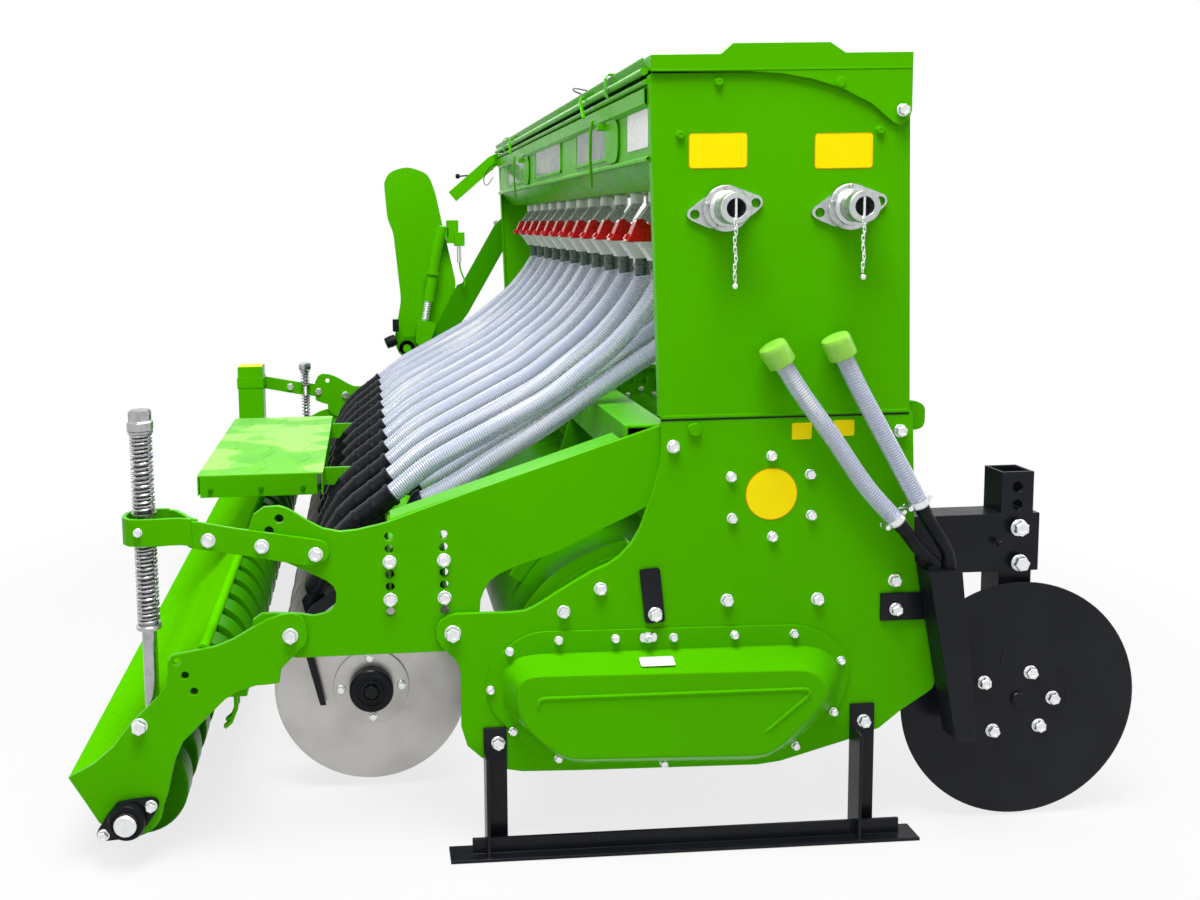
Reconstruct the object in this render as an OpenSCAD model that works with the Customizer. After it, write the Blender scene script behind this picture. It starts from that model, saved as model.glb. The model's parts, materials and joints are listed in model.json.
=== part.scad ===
// Super seeder: rotary tiller, seed and fertilizer box, disc openers and press roller.
// X forward (towards the tractor), Y to the machine's left, Z up. Millimetres.
// Origin: floor level, on the centre plane, half way between the rearmost and foremost point.

/* [Overall] */
// Width over the outer faces of the two side plates
work_w = 2180; // [1800:2:2620]
// Height of the box floor line, the top of the side plates
deck_z = 786; // [760:2:820]

/* [Rows] */
// Number of seed rows
rows = 12; // [8:1:13]
// Distance between rows
row_pitch = 150; // [120:1:160]

/* [Seed box] */
// Height of the box end panels
box_h = 600; // [500:10:720]
// Depth of the box at its top
box_d = 458; // [440:2:520]
// Sheet thickness of the box panels
box_t = 4; // [3:0.5:6]
// Height of the raised crown of the lid over the panels
lid_rise = 48; // [40:1:80]
// Gap between the lid and the box all round
lid_gap = 5; // [5:0.5:8]

/* [Frame] */
// Thickness of the side plates
side_t = 10; // [8:1:12]
// Thickness of the rear arm plates
arm_t = 10; // [8:1:12]
// Side of the square cross beams
beam_w = 80; // [66:1:96]
// Wall of the square cross beams
beam_wall = 6; // [4:1:8]

/* [Rotor] */
// Radius over the blade tips
rotor_r = 190; // [160:2:196]
// Radius of the rotor tube
rotor_tube_r = 44; // [38:1:50]
// Number of blade flanges
rotor_flanges = 9; // [5:1:11]

/* [Disc openers] */
// Radius of the opener discs
disc_r = 194; // [160:1:196]
// Thickness of the opener discs
disc_t = 4; // [3:0.5:5]
// Outer radius of the clear seed hoses
hose_r = 20; // [14:1:21]

/* [Side discs] */
// Radius of the side discs
side_disc_r = 224; // [200:1:224]
// Thickness of the side discs
side_disc_t = 6; // [5:1:8]

/* [Press roller] */
// Radius over the roller rings
roller_r = 90; // [80:1:94]
// Radius of the roller tube
roller_tube_r = 55; // [40:1:60]

/* [Joints] */
// Radial clearance of every running shaft in its bore
run_gap = 0.05; // [0.02:0.01:0.1]

/* [Hidden] */
$fn = 48;
half_w = work_w/2;            // outer face of a side plate
side_in = half_w - side_t;    // inner face of a side plate
arm_in = side_in - arm_t;     // inner face of an arm plate
box_x0 = 61;                  // rear face of the box at its top
box_x1 = box_x0 + box_d;      // front face of the box at its top
box_z1 = deck_z + box_h;      // top edge of the box panels
spindle_r = 12.5;             // stub axle of every disc

// Axes of what turns: [x, z]
rotor_ax = [55, 300];
drive_ax = [282, 639];
roller_ax = [-884, roller_r];
disc_ax = [-446, disc_r + 17];
side_disc_ax = [763, side_disc_r + 5];
lid_ax = [box_x1 - 19, box_z1 - 70];
wheel_arm_ax = [-292, 672];

row_y = [for (i = [0 : rows - 1]) (i - (rows - 1)/2)*row_pitch];

// ---------- helpers ----------

// Copies what stands at the right side (-Y) to the left side too.
module both_sides() {
    children();
    mirror([0, 1, 0]) children();
}

// An outline in X and Z, made a plate that runs from y_out to y_in on the right side.
module plate(y_out, y_in) {
    translate([0, -y_in, 0]) rotate([90, 0, 0]) linear_extrude(y_out - y_in) children();
}

// A round bar along Y, from y0 to y1, on the axis ax.
module bar_y(ax, y0, y1, r) {
    translate([ax[0], y0, ax[1]]) rotate([-90, 0, 0]) cylinder(r = r, h = y1 - y0);
}

// A round bar along X.
module bar_x(x0, x1, y, z, r) {
    translate([x0, y, z]) rotate([0, 90, 0]) cylinder(r = r, h = x1 - x0);
}

// A block from one corner to the other.
module block(a, b) {
    translate(a) cube([b[0] - a[0], b[1] - a[1], b[2] - a[2]]);
}

// A square tube along Y, between y0 and y1, with its lower rear corner at x, z.
module tube_y(x, z, w, wall, y0, y1) {
    difference() {
        block([x, y0, z], [x + w, y1, z + w]);
        block([x + wall, y0 - 1, z + wall], [x + w - wall, y1 + 1, z + w - wall]);
    }
}

// Rounds the corners of an outline by r.
module rounded(r) {
    offset(r = r) offset(r = -2*r) offset(r = r) children();
}

// A tube of radius r along points [x, z] in the plane y: one closed polyhedron with n sides.
module swept(pts, y, r, n = 10) {
    last = len(pts) - 1;
    dirs = [for (i = [0 : last]) pts[min(i + 1, last)] - pts[max(i - 1, 0)]];
    rings = [for (i = [0 : last], k = [0 : n - 1])
        let (d = dirs[i]/norm(dirs[i]), c = cos(360*k/n), s = sin(360*k/n))
        [pts[i][0] - d[1]*r*c, y + r*s, pts[i][1] + d[0]*r*c]];
    sides = [for (i = [0 : last - 1], k = [0 : n - 1])
        [i*n + k, i*n + (k + 1)%n, (i + 1)*n + (k + 1)%n, (i + 1)*n + k]];
    polyhedron(rings, concat([[for (k = [n - 1 : -1 : 0]) k]],
        sides, [[for (k = [0 : n - 1]) last*n + k]]), convexity = 4);
}

// ---------- frame ----------

// Outline of a side plate: from the front top corner round to the rear ear.
module side_outline() {
    polygon([
        [536, deck_z], [81, deck_z], [81, 743], [79, 706], [69, 664], [57, 627], [42, 585], [26, 558],
        [5, 536], [-16, 522], [-45, 510], [-70, 496], [-100, 479], [-129, 461], [-150, 449],
        [-166, 442], [-195, 440], [-247, 441], [-290, 441], [-305, 438], [-318, 430], [-327, 416],
        [-327, 398], [-319, 383], [-298, 361], [-288, 347], [-284, 332], [-284, 229], [-274, 194],
        [-249, 171], [-216, 149], [-174, 141], [-64, 138], [261, 133], [304, 138], [427, 172],
        [489, 193], [532, 227], [576, 255], [588, 264], [593, 276], [588, 401], [573, 466],
        [549, 509], [543, 676], [540, 762]]);
}

module side_plates() {
    color("limegreen") both_sides() difference() {
        plate(half_w, side_in) side_outline();
        bar_y(rotor_ax, -half_w - 1, -side_in + 1, 25 + run_gap);
    }
}

beam_front_x = 460;
beam_rear_x = 20;
beam_z = deck_z - 16 - beam_w;

module cross_beams() {
    color("limegreen") {
        tube_y(beam_front_x, beam_z, beam_w, beam_wall, -arm_in, arm_in);
        tube_y(beam_rear_x, beam_z, beam_w, beam_wall, -arm_in, arm_in);
        both_sides() block([beam_front_x - 20, -side_in, beam_z - 20],
            [beam_front_x + beam_w + 5, -arm_in, beam_z + beam_w + 10]);
    }
}

hood_r = rotor_r + 35;
hood_t = 4;

// Curved cover over the rotor, with the ribs that carry it from the beams.
module rotor_hood() {
    color("green") {
        difference() {
            plate(side_in, -side_in) intersection() {
                translate(rotor_ax) difference() {
                    circle(r = hood_r + hood_t);
                    circle(r = hood_r);
                }
                translate([rotor_ax[0] - 300, rotor_ax[1] - 20]) square([600, 300]);
            }
        }
        for (y = [-540, 540]) difference() {
            translate([0, 4, 0]) plate(-y + 4, -y - 4) difference() {
                polygon([[beam_rear_x, beam_z], [-60, 440], [200, 440],
                    [beam_front_x + beam_w, beam_z - 60], [beam_front_x + beam_w, beam_z]]);
                translate(rotor_ax) circle(r = hood_r + hood_t/2);
            }
            bar_y(drive_ax, y - 20, y + 20, drive_tube_r + 2);
        }
    }
}

drive_tube_r = 40;
gear_x0 = 190;
gear_x1 = 380;
gear_half = 130;

// Main gearbox between the beams, with its neck and the bearing of the input shaft.
module gearbox() {
    color("limegreen") difference() {
        union() {
            block([gear_x0, -gear_half, 545], [gear_x1, gear_half, beam_z + 50]);
            block([beam_rear_x + beam_w, -gear_half, beam_z + 50],
                [beam_front_x, gear_half, beam_z + 62]);
            bar_x(gear_x1, 450, 0, drive_ax[1], 46);
        }
        bar_x(gear_x1 - 30, 451, 0, drive_ax[1], 20 + run_gap);
    }
}

module drive_tube() {
    color("limegreen") difference() {
        bar_y(drive_ax, -side_in, -gear_half, drive_tube_r);
        bar_y(drive_ax, -side_in - 1, -gear_half - 20, drive_tube_r - 6);
    }
}

pto_r = 17.46;

module pto_shaft() {
    color("silver") {
        bar_x(gear_x1 - 25, 455, 0, drive_ax[1], 20);
        bar_x(455, 540, 0, drive_ax[1], pto_r);
    }
}

cover_t = 60;

// Outline of the side drive cover's flange.
module cover_flange() {
    polygon([
        [-242, 302], [-231, 340], [-205, 374], [-176, 394], [-147, 404], [-30, 402], [333, 398],
        [375, 386], [410, 361], [430, 329], [429, 295], [412, 234], [370, 192], [336, 163],
        [285, 139], [259, 136], [-65, 141], [-99, 148], [-158, 182], [-197, 224], [-228, 256]]);
}

// Where the pressed part rises from the flange, and its flat face
module cover_base() {
    polygon([
        [-213, 312], [-198, 345], [-173, 357], [-148, 362], [331, 358], [365, 353], [396, 333],
        [411, 306], [408, 272], [393, 237], [325, 175], [283, 150], [257, 145], [-83, 156],
        [-112, 169], [-183, 237], [-207, 273]]);
}

module cover_face() {
    polygon([
        [-189, 327], [-176, 340], [-164, 344], [328, 335], [341, 326], [360, 308], [366, 291],
        [346, 262], [284, 201], [259, 182], [-92, 191], [-122, 203], [-168, 245], [-187, 280]]);
}

module drive_covers() {
    color("limegreen") {
        plate(half_w + 5, half_w) cover_flange();
        hull() {
            plate(half_w + 6, half_w + 4.5) cover_base();
            plate(half_w + cover_t, half_w + cover_t - 2) cover_face();
        }
        // cap over the rotor bearing at the left
        difference() {
            bar_y(rotor_ax, half_w, half_w + 40, 75);
            bar_y(rotor_ax, half_w - 1, half_w + 25, 50);
        }
    }
}

mast_x = beam_front_x + beam_w;
top_link_r = 12.75;
lower_pin_r = 14;

top_link_ax = [mast_x + 50, 1090];
hitch_ax = [mast_x + 100, 610];

// Three-point hitch: the mast with the top link's bore, and the two lower pins.
module hitch() {
    color("limegreen") {
        difference() {
            union() {
                both_sides() plate(52, 40) rounded(12) polygon([
                    [mast_x, beam_z], [mast_x + 70, beam_z], [mast_x + 85, 1070], [mast_x + 70, 1130],
                    [mast_x + 20, 1130], [mast_x, 1050]]);
                block([mast_x + 10, -40, 840], [mast_x + 50, 40, 852]);
            }
            bar_y(top_link_ax, -60, 60, top_link_r);
        }
        both_sides() {
            plate(412, 396) rounded(14) polygon([
                [mast_x, beam_z], [mast_x, beam_z + beam_w], [mast_x + 40, beam_z + beam_w],
                [mast_x + 140, 630], [mast_x + 135, 575], [mast_x + 85, 570]]);
            bar_y(hitch_ax, -500, -411, lower_pin_r);
        }
    }
}

stand_t = 6;

// Bolt-on parking stands: two angle posts and a skid on each side.
module stands() {
    color("black") both_sides() {
        for (p = [[-245, 42, 228], [432, 45, 243]]) {
            block([p[0], -half_w - stand_t, 5], [p[0] + p[1], -half_w, p[2]]);
            block([p[0], -half_w - 46, 5], [p[0] + stand_t, -half_w, p[2] - 40]);
        }
        block([-311, -half_w - 50, 0], [546, -half_w - 1, stand_t]);
        block([-270, -half_w - 30, 5], [515, -half_w - 30 + stand_t, 34]);
    }
}

// ---------- rotor ----------

blade_h = 60;

module blade(side) {
    // arm of the blade, and its foot bent towards the side
    translate([70, -4, -blade_h/2]) cube([rotor_r - 78, 8, blade_h]);
    translate([rotor_r - 10, side > 0 ? -4 : -66, -blade_h/2]) cube([8, 70, blade_h]);
}

module rotor() {
    stub = 25;
    color("green") translate([rotor_ax[0], 0, rotor_ax[1]]) {
        bar_y([0, 0], -side_in + 15, side_in - 15, rotor_tube_r);
        bar_y([0, 0], -half_w + 3, half_w - 3, stub);
        for (i = [0 : rotor_flanges - 1]) {
            y = -960 + i*1920/(rotor_flanges - 1);
            bar_y([0, 0], y - 5, y + 5, 90);
            for (k = [0 : 2])
                translate([0, y + 8, 0]) rotate([0, k*120 + i*25, 0]) blade(i < rotor_flanges - 1 ? 1 : -1);
            for (k = [0 : 2])
                translate([0, y - 8, 0]) rotate([0, 60 + k*120 + i*25, 0]) blade(i > 0 ? -1 : 1);
        }
    }
}

// ---------- rear arms and openers ----------

hole_r = 8;
hole_cols = [-407, -310];   // the two columns of depth holes
hole_z0 = 446;
hole_step = 23;

// Outline of the right arm: long flanged arm with a two-pronged rear end.
module arm_outline() {
    polygon([
        [110, 779], [82, 770], [-261, 660], [-412, 609], [-435, 604], [-465, 598], [-494, 596],
        [-524, 603], [-549, 617], [-575, 635], [-588, 642], [-600, 646], [-626, 645], [-645, 632],
        [-655, 606], [-650, 585], [-640, 570], [-610, 550], [-589, 543], [-552, 525], [-519, 507],
        [-508, 497], [-503, 485], [-504, 466], [-511, 456], [-521, 449], [-544, 444], [-569, 449],
        [-614, 452], [-636, 452], [-652, 441], [-654, 420], [-630, 392], [-600, 374], [-576, 368],
        [-306, 369], [-288, 374], [-260, 405], [-247, 438], [-245, 462], [-239, 478], [-227, 497],
        [-210, 509], [-181, 521], [-139, 534], [-97, 549], [-56, 569], [-14, 589], [28, 608],
        [59, 624], [110, 650]]);
}

// The left arm, set a little lower at its rear end.
module left_arm_outline() {
    polygon([
        [110, 779], [82, 770], [-261, 640], [-380, 588], [-420, 556], [-444, 543], [-471, 537],
        [-493, 538], [-515, 548], [-537, 562], [-563, 577], [-589, 586], [-612, 587], [-626, 579],
        [-637, 557], [-638, 520], [-636, 489], [-616, 480], [-592, 473], [-592, 454], [-580, 438],
        [-563, 427], [-533, 434], [-540, 410], [-580, 404], [-641, 426], [-646, 400], [-628, 374],
        [-600, 362], [-306, 362], [-288, 370], [-260, 402], [-247, 438], [-245, 462], [-239, 478],
        [-227, 497], [-210, 509], [-181, 521], [-139, 534], [-97, 549], [-56, 569], [-14, 589],
        [28, 608], [59, 624], [110, 650]]);
}

module arm_plates() {
    color("limegreen") {
        difference() {
            union() {
                plate(side_in, arm_in) arm_outline();
                // folded top flange
                plate(arm_in, arm_in - 58) polygon([[10, 747], [10, 741], [-404, 608], [-404, 614]]);
            }
            for (x = hole_cols, i = [0 : 6])
                bar_y([x, hole_z0 + i*hole_step], -side_in - 1, -arm_in + 1, hole_r);
            for (h = [[-600, 623], [-618, 602]]) bar_y(h, -side_in - 1, -arm_in + 1, hole_r);
        }
        mirror([0, 1, 0]) difference() {
            union() {
                plate(side_in, arm_in) left_arm_outline();
                plate(arm_in, arm_in - 58) polygon([[10, 743], [10, 737], [-380, 580], [-380, 588]]);
            }
            for (x = hole_cols, i = [0 : 3])
                bar_y([x, hole_z0 + i*hole_step], -side_in - 1, -arm_in + 1, hole_r);
            bar_y([-591, 562], -side_in - 1, -arm_in + 1, hole_r);
        }
    }
}

opener_w = 100;
opener_x = -407;
opener_z = 460;

module opener_beam() {
    color("limegreen") tube_y(opener_x, opener_z, opener_w, beam_wall, -arm_in, arm_in);
}

disc_off = -22;    // a disc's plane from its row's hose
shank_gap = 6;     // free space between a disc and its shank
hub_r = 44;
hub_l = 30;

module shanks() {
    color("dimgray") for (y = row_y) {
        yd = y + disc_off + disc_t/2 + shank_gap;
        translate([0, yd + 20, 0]) rotate([90, 0, 0]) linear_extrude(20) polygon([
            [-402, opener_z], [-342, opener_z], [-368, 330], [disc_ax[0] + 36, disc_ax[1] - 34],
            [disc_ax[0] - 34, disc_ax[1] - 34], [disc_ax[0] - 34, disc_ax[1] + 30], [-424, 350]]);
        bar_y(disc_ax, y + disc_off - disc_t/2 - hub_l - 6, yd + 1, spindle_r);
    }
}

module opener_disc(y) {
    yd = y + disc_off;
    color("silver") difference() {
        union() {
            bar_y(disc_ax, yd - disc_t/2, yd + disc_t/2, disc_r);
            bar_y(disc_ax, yd - disc_t/2 - 5, yd, 76);
            bar_y(disc_ax, yd - disc_t/2 - hub_l, yd, hub_r);
        }
        bar_y(disc_ax, yd - disc_t/2 - hub_l - 1, yd + disc_t/2 + 1, spindle_r + run_gap);
    }
}

spout_x0 = -570;
spout_x1 = -536;
spout_z0 = 55;
spout_z1 = 402;

module seed_spouts() {
    color("dimgray") for (y = row_y) {
        difference() {
            block([spout_x0, y - 13, spout_z0], [spout_x1, y + 13, spout_z1]);
            block([spout_x0 + 3, y - 10, spout_z0 - 1], [spout_x1 - 3, y + 10, spout_z1 - 4]);
        }
        block([spout_x1, y - 6, 214], [disc_ax[0] - 34, y + 2, 236]);
    }
}

module scrapers() {
    color("black") for (y = row_y)
        translate([0, y + disc_off - disc_t/2 - 8, 0]) rotate([90, 0, 0]) linear_extrude(6) polygon([
            [opener_x, 470], [opener_x, 490], [-560, 385], [-590, 345], [-549, 180], [-537, 180],
            [-572, 345]]);
}

// Routes in X and Z, the same in every row: hand-chosen points. Each row has two hoses, from
// the rear and from the front bank of outlets; their upper ends follow the box's height.
boot_path = [[-393, 599], [-433, 569], [-462, 548], [-493, 520], [-518, 484], [-536, 446],
    [-552, 420], [-553, 412], [-553, 402]];
hose_path = [[152, 1018], [152, 1010], [143, 994], [122, 962], [88, 920], [45, 877], [-12, 832], [-79, 784],
    [-189, 725], [-313, 659], [-393, 599]];
front_boot_path = [[-333, 583], [-339, 580], [-344, 573], [-347, 565],
    [-347, opener_z + opener_w]];
front_hose_path = [[262, 1018], [262, 1010], [254, 988], [234, 952], [194, 912], [142, 876],
    [22, 799], [-80, 730], [-194, 662], [-269, 615], [-333, 583]];

// A route with its upper part moved by the box's height over its usual 600 mm.
function lifted(path) = [for (p = path)
    [p[0], p[1] + max(0, (p[1] - 750)/(1018 - 750))*(box_h - 600)]];

// ---------- metering outlets ----------

// Both banks of outlets: where their middle stands
banks = [140, 250];
// Heights of the outlet's parts, from the hopper floor down
neck_z1 = box_z1 - 194;
cap_z0 = neck_z1 - 24;
neck_z0 = neck_z1 - 60;
shutter_z0 = neck_z1 - 100;
funnel_z0 = neck_z1 - 136;
cuff_z0 = neck_z1 - 174;

// A slanting square prism: centre x0 and half sides at z0, centre x1 and half sides at z1.
module slant(x0, h0, z0, x1, h1, z1) {
    polyhedron([
        [x0 - h0[0], -h0[1], z0], [x0 + h0[0], -h0[1], z0], [x0 + h0[0], h0[1], z0],
        [x0 - h0[0], h0[1], z0], [x1 - h1[0], -h1[1], z1], [x1 + h1[0], -h1[1], z1],
        [x1 + h1[0], h1[1], z1], [x1 - h1[0], h1[1], z1]],
        [[0, 1, 2, 3], [7, 6, 5, 4], [4, 5, 1, 0], [5, 6, 2, 1], [6, 7, 3, 2], [7, 4, 0, 3]]);
}

module outlet_necks() {
    color("gainsboro") for (y = row_y, x = banks) translate([x, y, 0]) {
        translate([0, 0, cap_z0]) cylinder(r = 14, h = neck_z1 - cap_z0);
        slant(-28, [13, 11], neck_z0, 0, [10, 9], cap_z0 + 2);
    }
}

module outlet_shutters() {
    color("red") for (y = row_y, x = banks) translate([x, y, 0])
        slant(-26, [34, 17], shutter_z0, -30, [16, 15], neck_z0);
}

module outlet_funnels() {
    color("white") for (y = row_y, x = banks) translate([x, y, 0])
        slant(10, [22, 19], funnel_z0, -14, [22, 21], shutter_z0);
}

module hose_cuffs() {
    color("darkslategray") for (y = row_y, x = banks)
        translate([x + 12, y, cuff_z0]) cylinder(r = 16, h = funnel_z0 - cuff_z0);
}

// ---------- seed box ----------

module box_end_outline() {
    polygon([[box_x0 + 20, deck_z], [box_x1 + 12, deck_z], [box_x1, box_z1], [box_x0, box_z1]]);
}

lid_pin_r = 8;

module box_ends() {
    color("limegreen") both_sides() {
        plate(half_w, half_w - box_t) box_end_outline();
        bar_y(lid_ax, -half_w - lid_gap - 8, -half_w + 1, lid_pin_r);
    }
}

hop_in = half_w - box_t;
wall_x = box_x0 + 2;     // rear face of the hopper
lip_z = box_z1 - 144;    // where the rear wall turns in

module hopper_outline() {
    polygon([
        [wall_x, box_z1 - 4], [wall_x, lip_z], [112, neck_z1], [168, neck_z1], [191, neck_z1 + 40],
        [201, neck_z1 + 40], [224, neck_z1], [276, neck_z1], [box_x1 - 3, neck_z1 + 98],
        [box_x1 - 3, box_z1 - 4]]);
}

windows_y = [[-820, -420], [-200, 200], [420, 820]];   // spans of the sight windows
window_z0 = lip_z + 22;
window_z1 = box_z1 - 44;

module hopper() {
    color("limegreen") difference() {
        plate(hop_in, -hop_in) difference() {
            hopper_outline();
            offset(delta = -3) hopper_outline();
            translate([wall_x + 3, box_z1 - 20]) square([box_d - 11, 40]);
        }
        for (w = windows_y)
            block([wall_x - 1, w[0], window_z0], [wall_x + 4, w[1], window_z1]);
    }
}

module sight_windows() {
    color("lightcyan", 0.4) for (w = windows_y)
        block([wall_x, w[0], window_z0], [wall_x + 3, w[1], window_z1]);
}

module hopper_divider() {
    color("limegreen") block([194.5, -hop_in, neck_z1 + 43], [197.5, hop_in, box_z1 - 30]);
}

// Profile of the lid's sheet, seen from the side: its lips stand just above the panels.
lid_z = box_z1 + lid_rise - 18;

module lid_profile(inset) {
    x0 = box_x0 - 2 + inset;
    x1 = box_x1 + 1 - inset;
    z = lid_z - inset;
    polygon([[x0, box_z1 + lid_gap], [x0, z], [box_x0 + 120, z], [box_x0 + 141, z + 18],
        [box_x1 - 146, z + 18], [box_x1 - 119, z], [x1, z], [x1, box_z1 + lid_gap]]);
}

lid_in = half_w + lid_gap;

module lid() {
    x0 = box_x0 - 2;
    x1 = box_x1 + 1;
    color("limegreen") difference() {
        union() {
            plate(lid_in + 3, -lid_in - 3) difference() {
                lid_profile(0);
                lid_profile(3);
                translate([x0 + 3, box_z1]) square([x1 - x0 - 6, lid_rise - 21]);
            }
            // end skirts down to the hinge
            both_sides() plate(lid_in + 3, lid_in) {
                polygon([[x0, lid_z - 1], [x0, box_z1 + 2], [box_x0 + 170, box_z1],
                    [box_x0 + 226, box_z1 - 4], [box_x0 + 281, box_z1 - 14],
                    [box_x1 - 125, box_z1 - 30], [box_x1 - 70, box_z1 - 58],
                    [lid_ax[0] - 12, lid_ax[1] - 21], [lid_ax[0] - 1, lid_ax[1] - 25],
                    [lid_ax[0] + 8, lid_ax[1] - 22], [lid_ax[0] + 15, lid_ax[1] - 14],
                    [x1, lid_ax[1]], [x1, lid_z - 1], [box_x1 - 119, lid_z - 1],
                    [box_x1 - 146, lid_z + 17], [box_x0 + 141, lid_z + 17],
                    [box_x0 + 120, lid_z - 1]]);
            }
        }
        bar_y(lid_ax, -lid_in - 5, lid_in + 5, lid_pin_r + run_gap);
    }
}

// The two shaft ends on the box's right panel: [x, z]
shaft_ends = [[191, 1152], [413, 1151]];

module shaft_flanges() {
    color("silver") for (s = shaft_ends) difference() {
        union() {
            plate(half_w + 8, half_w) hull() {
                translate([s[0] - 50, s[1] - 8]) circle(r = 12);
                translate([s[0] + 50, s[1] + 8]) circle(r = 12);
                translate(s) circle(r = 34);
            }
            bar_y(s, -half_w - 34, -half_w - 7, 32);
            bar_y(s, -half_w - 66, -half_w - 30, 23);
        }
        bar_y(s, -half_w - 67, -half_w - 20, 17);
    }
}

// ---------- side hoses and boots ----------

side_y = half_w + 34;    // plane of the side hoses and the pipes below them
// Hose routes in X and Z, from elbow to clamp: hand-chosen points
side_paths = [
    [[282, 887], [319, 829], [379, 745], [438, 659], [498, 591]],
    [[391, 897], [422, 835], [457, 771], [492, 707], [540, 619]]];
// The black pipes below them
pipe_paths = [
    [[498, 591], [513, 574], [534, 546], [556, 524], [566, 514], [566, 504]],
    [[540, 619], [552, 597], [574, 563], [590, 534], [594, 516], [594, 504]]];
side_hose_r = 16;

module hose_elbows() {
    color("greenyellow") both_sides() for (p = side_paths) {
        d = (p[1] - p[0])/norm(p[1] - p[0]);
        bar_y(p[0] - 16*d, -side_y, -half_w, 12);
        translate([p[0][0], -side_y, p[0][1]]) rotate([0, atan2(d[0], d[1]), 0])
            translate([0, 0, -33]) cylinder(r = 26, h = 33);
    }
}

module seed_hoses() {
    color("white") {
        for (y = row_y, p = [hose_path, front_hose_path]) swept(lifted(p), y, hose_r);
        both_sides() for (p = side_paths) swept(p, -side_y, side_hose_r);
    }
}

module boot_tubes() {
    color("black") {
        for (y = row_y) {
            swept(boot_path, y, hose_r + 4);
            swept(front_boot_path, y, hose_r + 2);
        }
        both_sides() for (p = pipe_paths) swept(p, -side_y, 12);
    }
}

module side_boots() {
    color("black") both_sides() {
        // tapered channel, closed at the top
        plate(side_y + 24, side_y - 24) polygon([
            [546, 504], [607, 504], [642, 190], [604, 190]]);
        // strap to the side plate
        block([485, -half_w - 6, 399], [573, -half_w, 450]);
        block([566, -half_w - 10, 399], [572, -half_w - 6, 450]);
    }
}

// ---------- side discs ----------

sd_out = side_in - 8;           // outer face of a side disc
sd_in = sd_out - side_disc_t;   // inner face
post_out = sd_in - 16;          // outer face of the square post

module side_disc_mounts() {
    color("black") both_sides() {
        block([430, -side_in, 468], [530, -post_out, 578]);
        difference() {
            block([430, -post_out, 468], [807, -post_out + 60, 578]);
            block([436, -post_out + 6, 462], [724, -post_out + 54, 572]);
        }
        difference() {
            block([732, -post_out, side_disc_ax[1] - 40], [794, -post_out + 60, 657]);
            block([738, -post_out + 6, 580], [788, -post_out + 54, 658]);
            for (z = [594, 628]) bar_y([763, z], -post_out - 1, -post_out + 61, 10);
        }
        bar_y(side_disc_ax, -sd_out - 6, -post_out + 1, spindle_r);
    }
}

module side_disc() {
    color("darkslategray") difference() {
        union() {
            bar_y(side_disc_ax, -sd_out, -sd_in, side_disc_r);
            bar_y(side_disc_ax, -sd_in, -sd_in + 10, 60);
        }
        bar_y(side_disc_ax, -sd_out - 1, -sd_in + 11, spindle_r + run_gap);
    }
}

module side_disc_right() { side_disc(); }

module side_disc_left() { mirror([0, 1, 0]) side_disc(); }

// ---------- press roller ----------

roller_half = arm_in - 10;
roller_stub_r = 20;
ring_pitch = 120;

module roller() {
    n = floor((roller_half - 40)/ring_pitch);
    color("green") {
        difference() {
            bar_y(roller_ax, -roller_half, roller_half, roller_tube_r);
            bar_y(roller_ax, -roller_half + 10, roller_half - 10, roller_tube_r - 8);
        }
        for (i = [-n : n]) difference() {
            bar_y(roller_ax, i*ring_pitch - 30, i*ring_pitch + 30, roller_r);
            bar_y(roller_ax, i*ring_pitch - 31, i*ring_pitch + 31, roller_tube_r - 1);
        }
        both_sides() bar_y(roller_ax, -half_w - 34, -roller_half + 2, roller_stub_r);
    }
}

module roller_arm_outline() {
    polygon([
        [-795, 386], [-775, 389], [-716, 399], [-686, 411], [-651, 431], [-626, 444], [-601, 452],
        [-581, 454], [-568, 449], [-559, 434], [-555, 418], [-558, 398], [-574, 383], [-604, 353],
        [-608, 327], [-625, 325], [-650, 324], [-680, 315], [-705, 301], [-731, 276], [-756, 251],
        [-782, 226], [-798, 191], [-807, 155], [-813, 129], [-822, 108], [-828, 82], [-843, 64],
        [-863, 56], [-883, 56], [-903, 62], [-912, 73], [-936, 81], [-961, 125], [-987, 169],
        [-964, 180], [-941, 192], [-905, 222], [-874, 262], [-848, 287], [-823, 311], [-808, 331],
        [-804, 352], [-804, 372]]);
}

module roller_arms() {
    color("limegreen") both_sides() difference() {
        plate(half_w, side_in) roller_arm_outline();
        bar_y(roller_ax, -half_w - 1, -side_in + 1, roller_stub_r + run_gap);
        for (h = [[-787, 374], [-774, 348], [-759, 318]])
            bar_y(h, -half_w - 1, -side_in + 1, 7);
    }
}

module roller_bearings() {
    color("black") both_sides() difference() {
        union() {
            plate(half_w + 10, half_w) hull() {
                translate(roller_ax) circle(r = 42);
                translate(roller_ax + [45, 36]) circle(r = 16);
                translate(roller_ax - [45, 36]) circle(r = 16);
            }
            bar_y(roller_ax, -half_w - 22, -half_w, 38);
        }
        bar_y(roller_ax, -half_w - 23, -half_w + 1, roller_stub_r + run_gap);
    }
}

guard_half = 1010;

// Sheet over the roller and the rail that carries it between the arms.
module roller_guard() {
    color("limegreen") {
        plate(guard_half, -guard_half) polygon([
            [-985, 168], [-745, 392], [-722, 384], [-723, 381], [-744, 388], [-983, 165]]);
        bar_y([-952, 187], -side_in, side_in, 12);
    }
}

// ---------- foot board and links ----------

board = [[-851, -389], [-552, 389]];
board_z = 548;
board_lip = 55;

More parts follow.
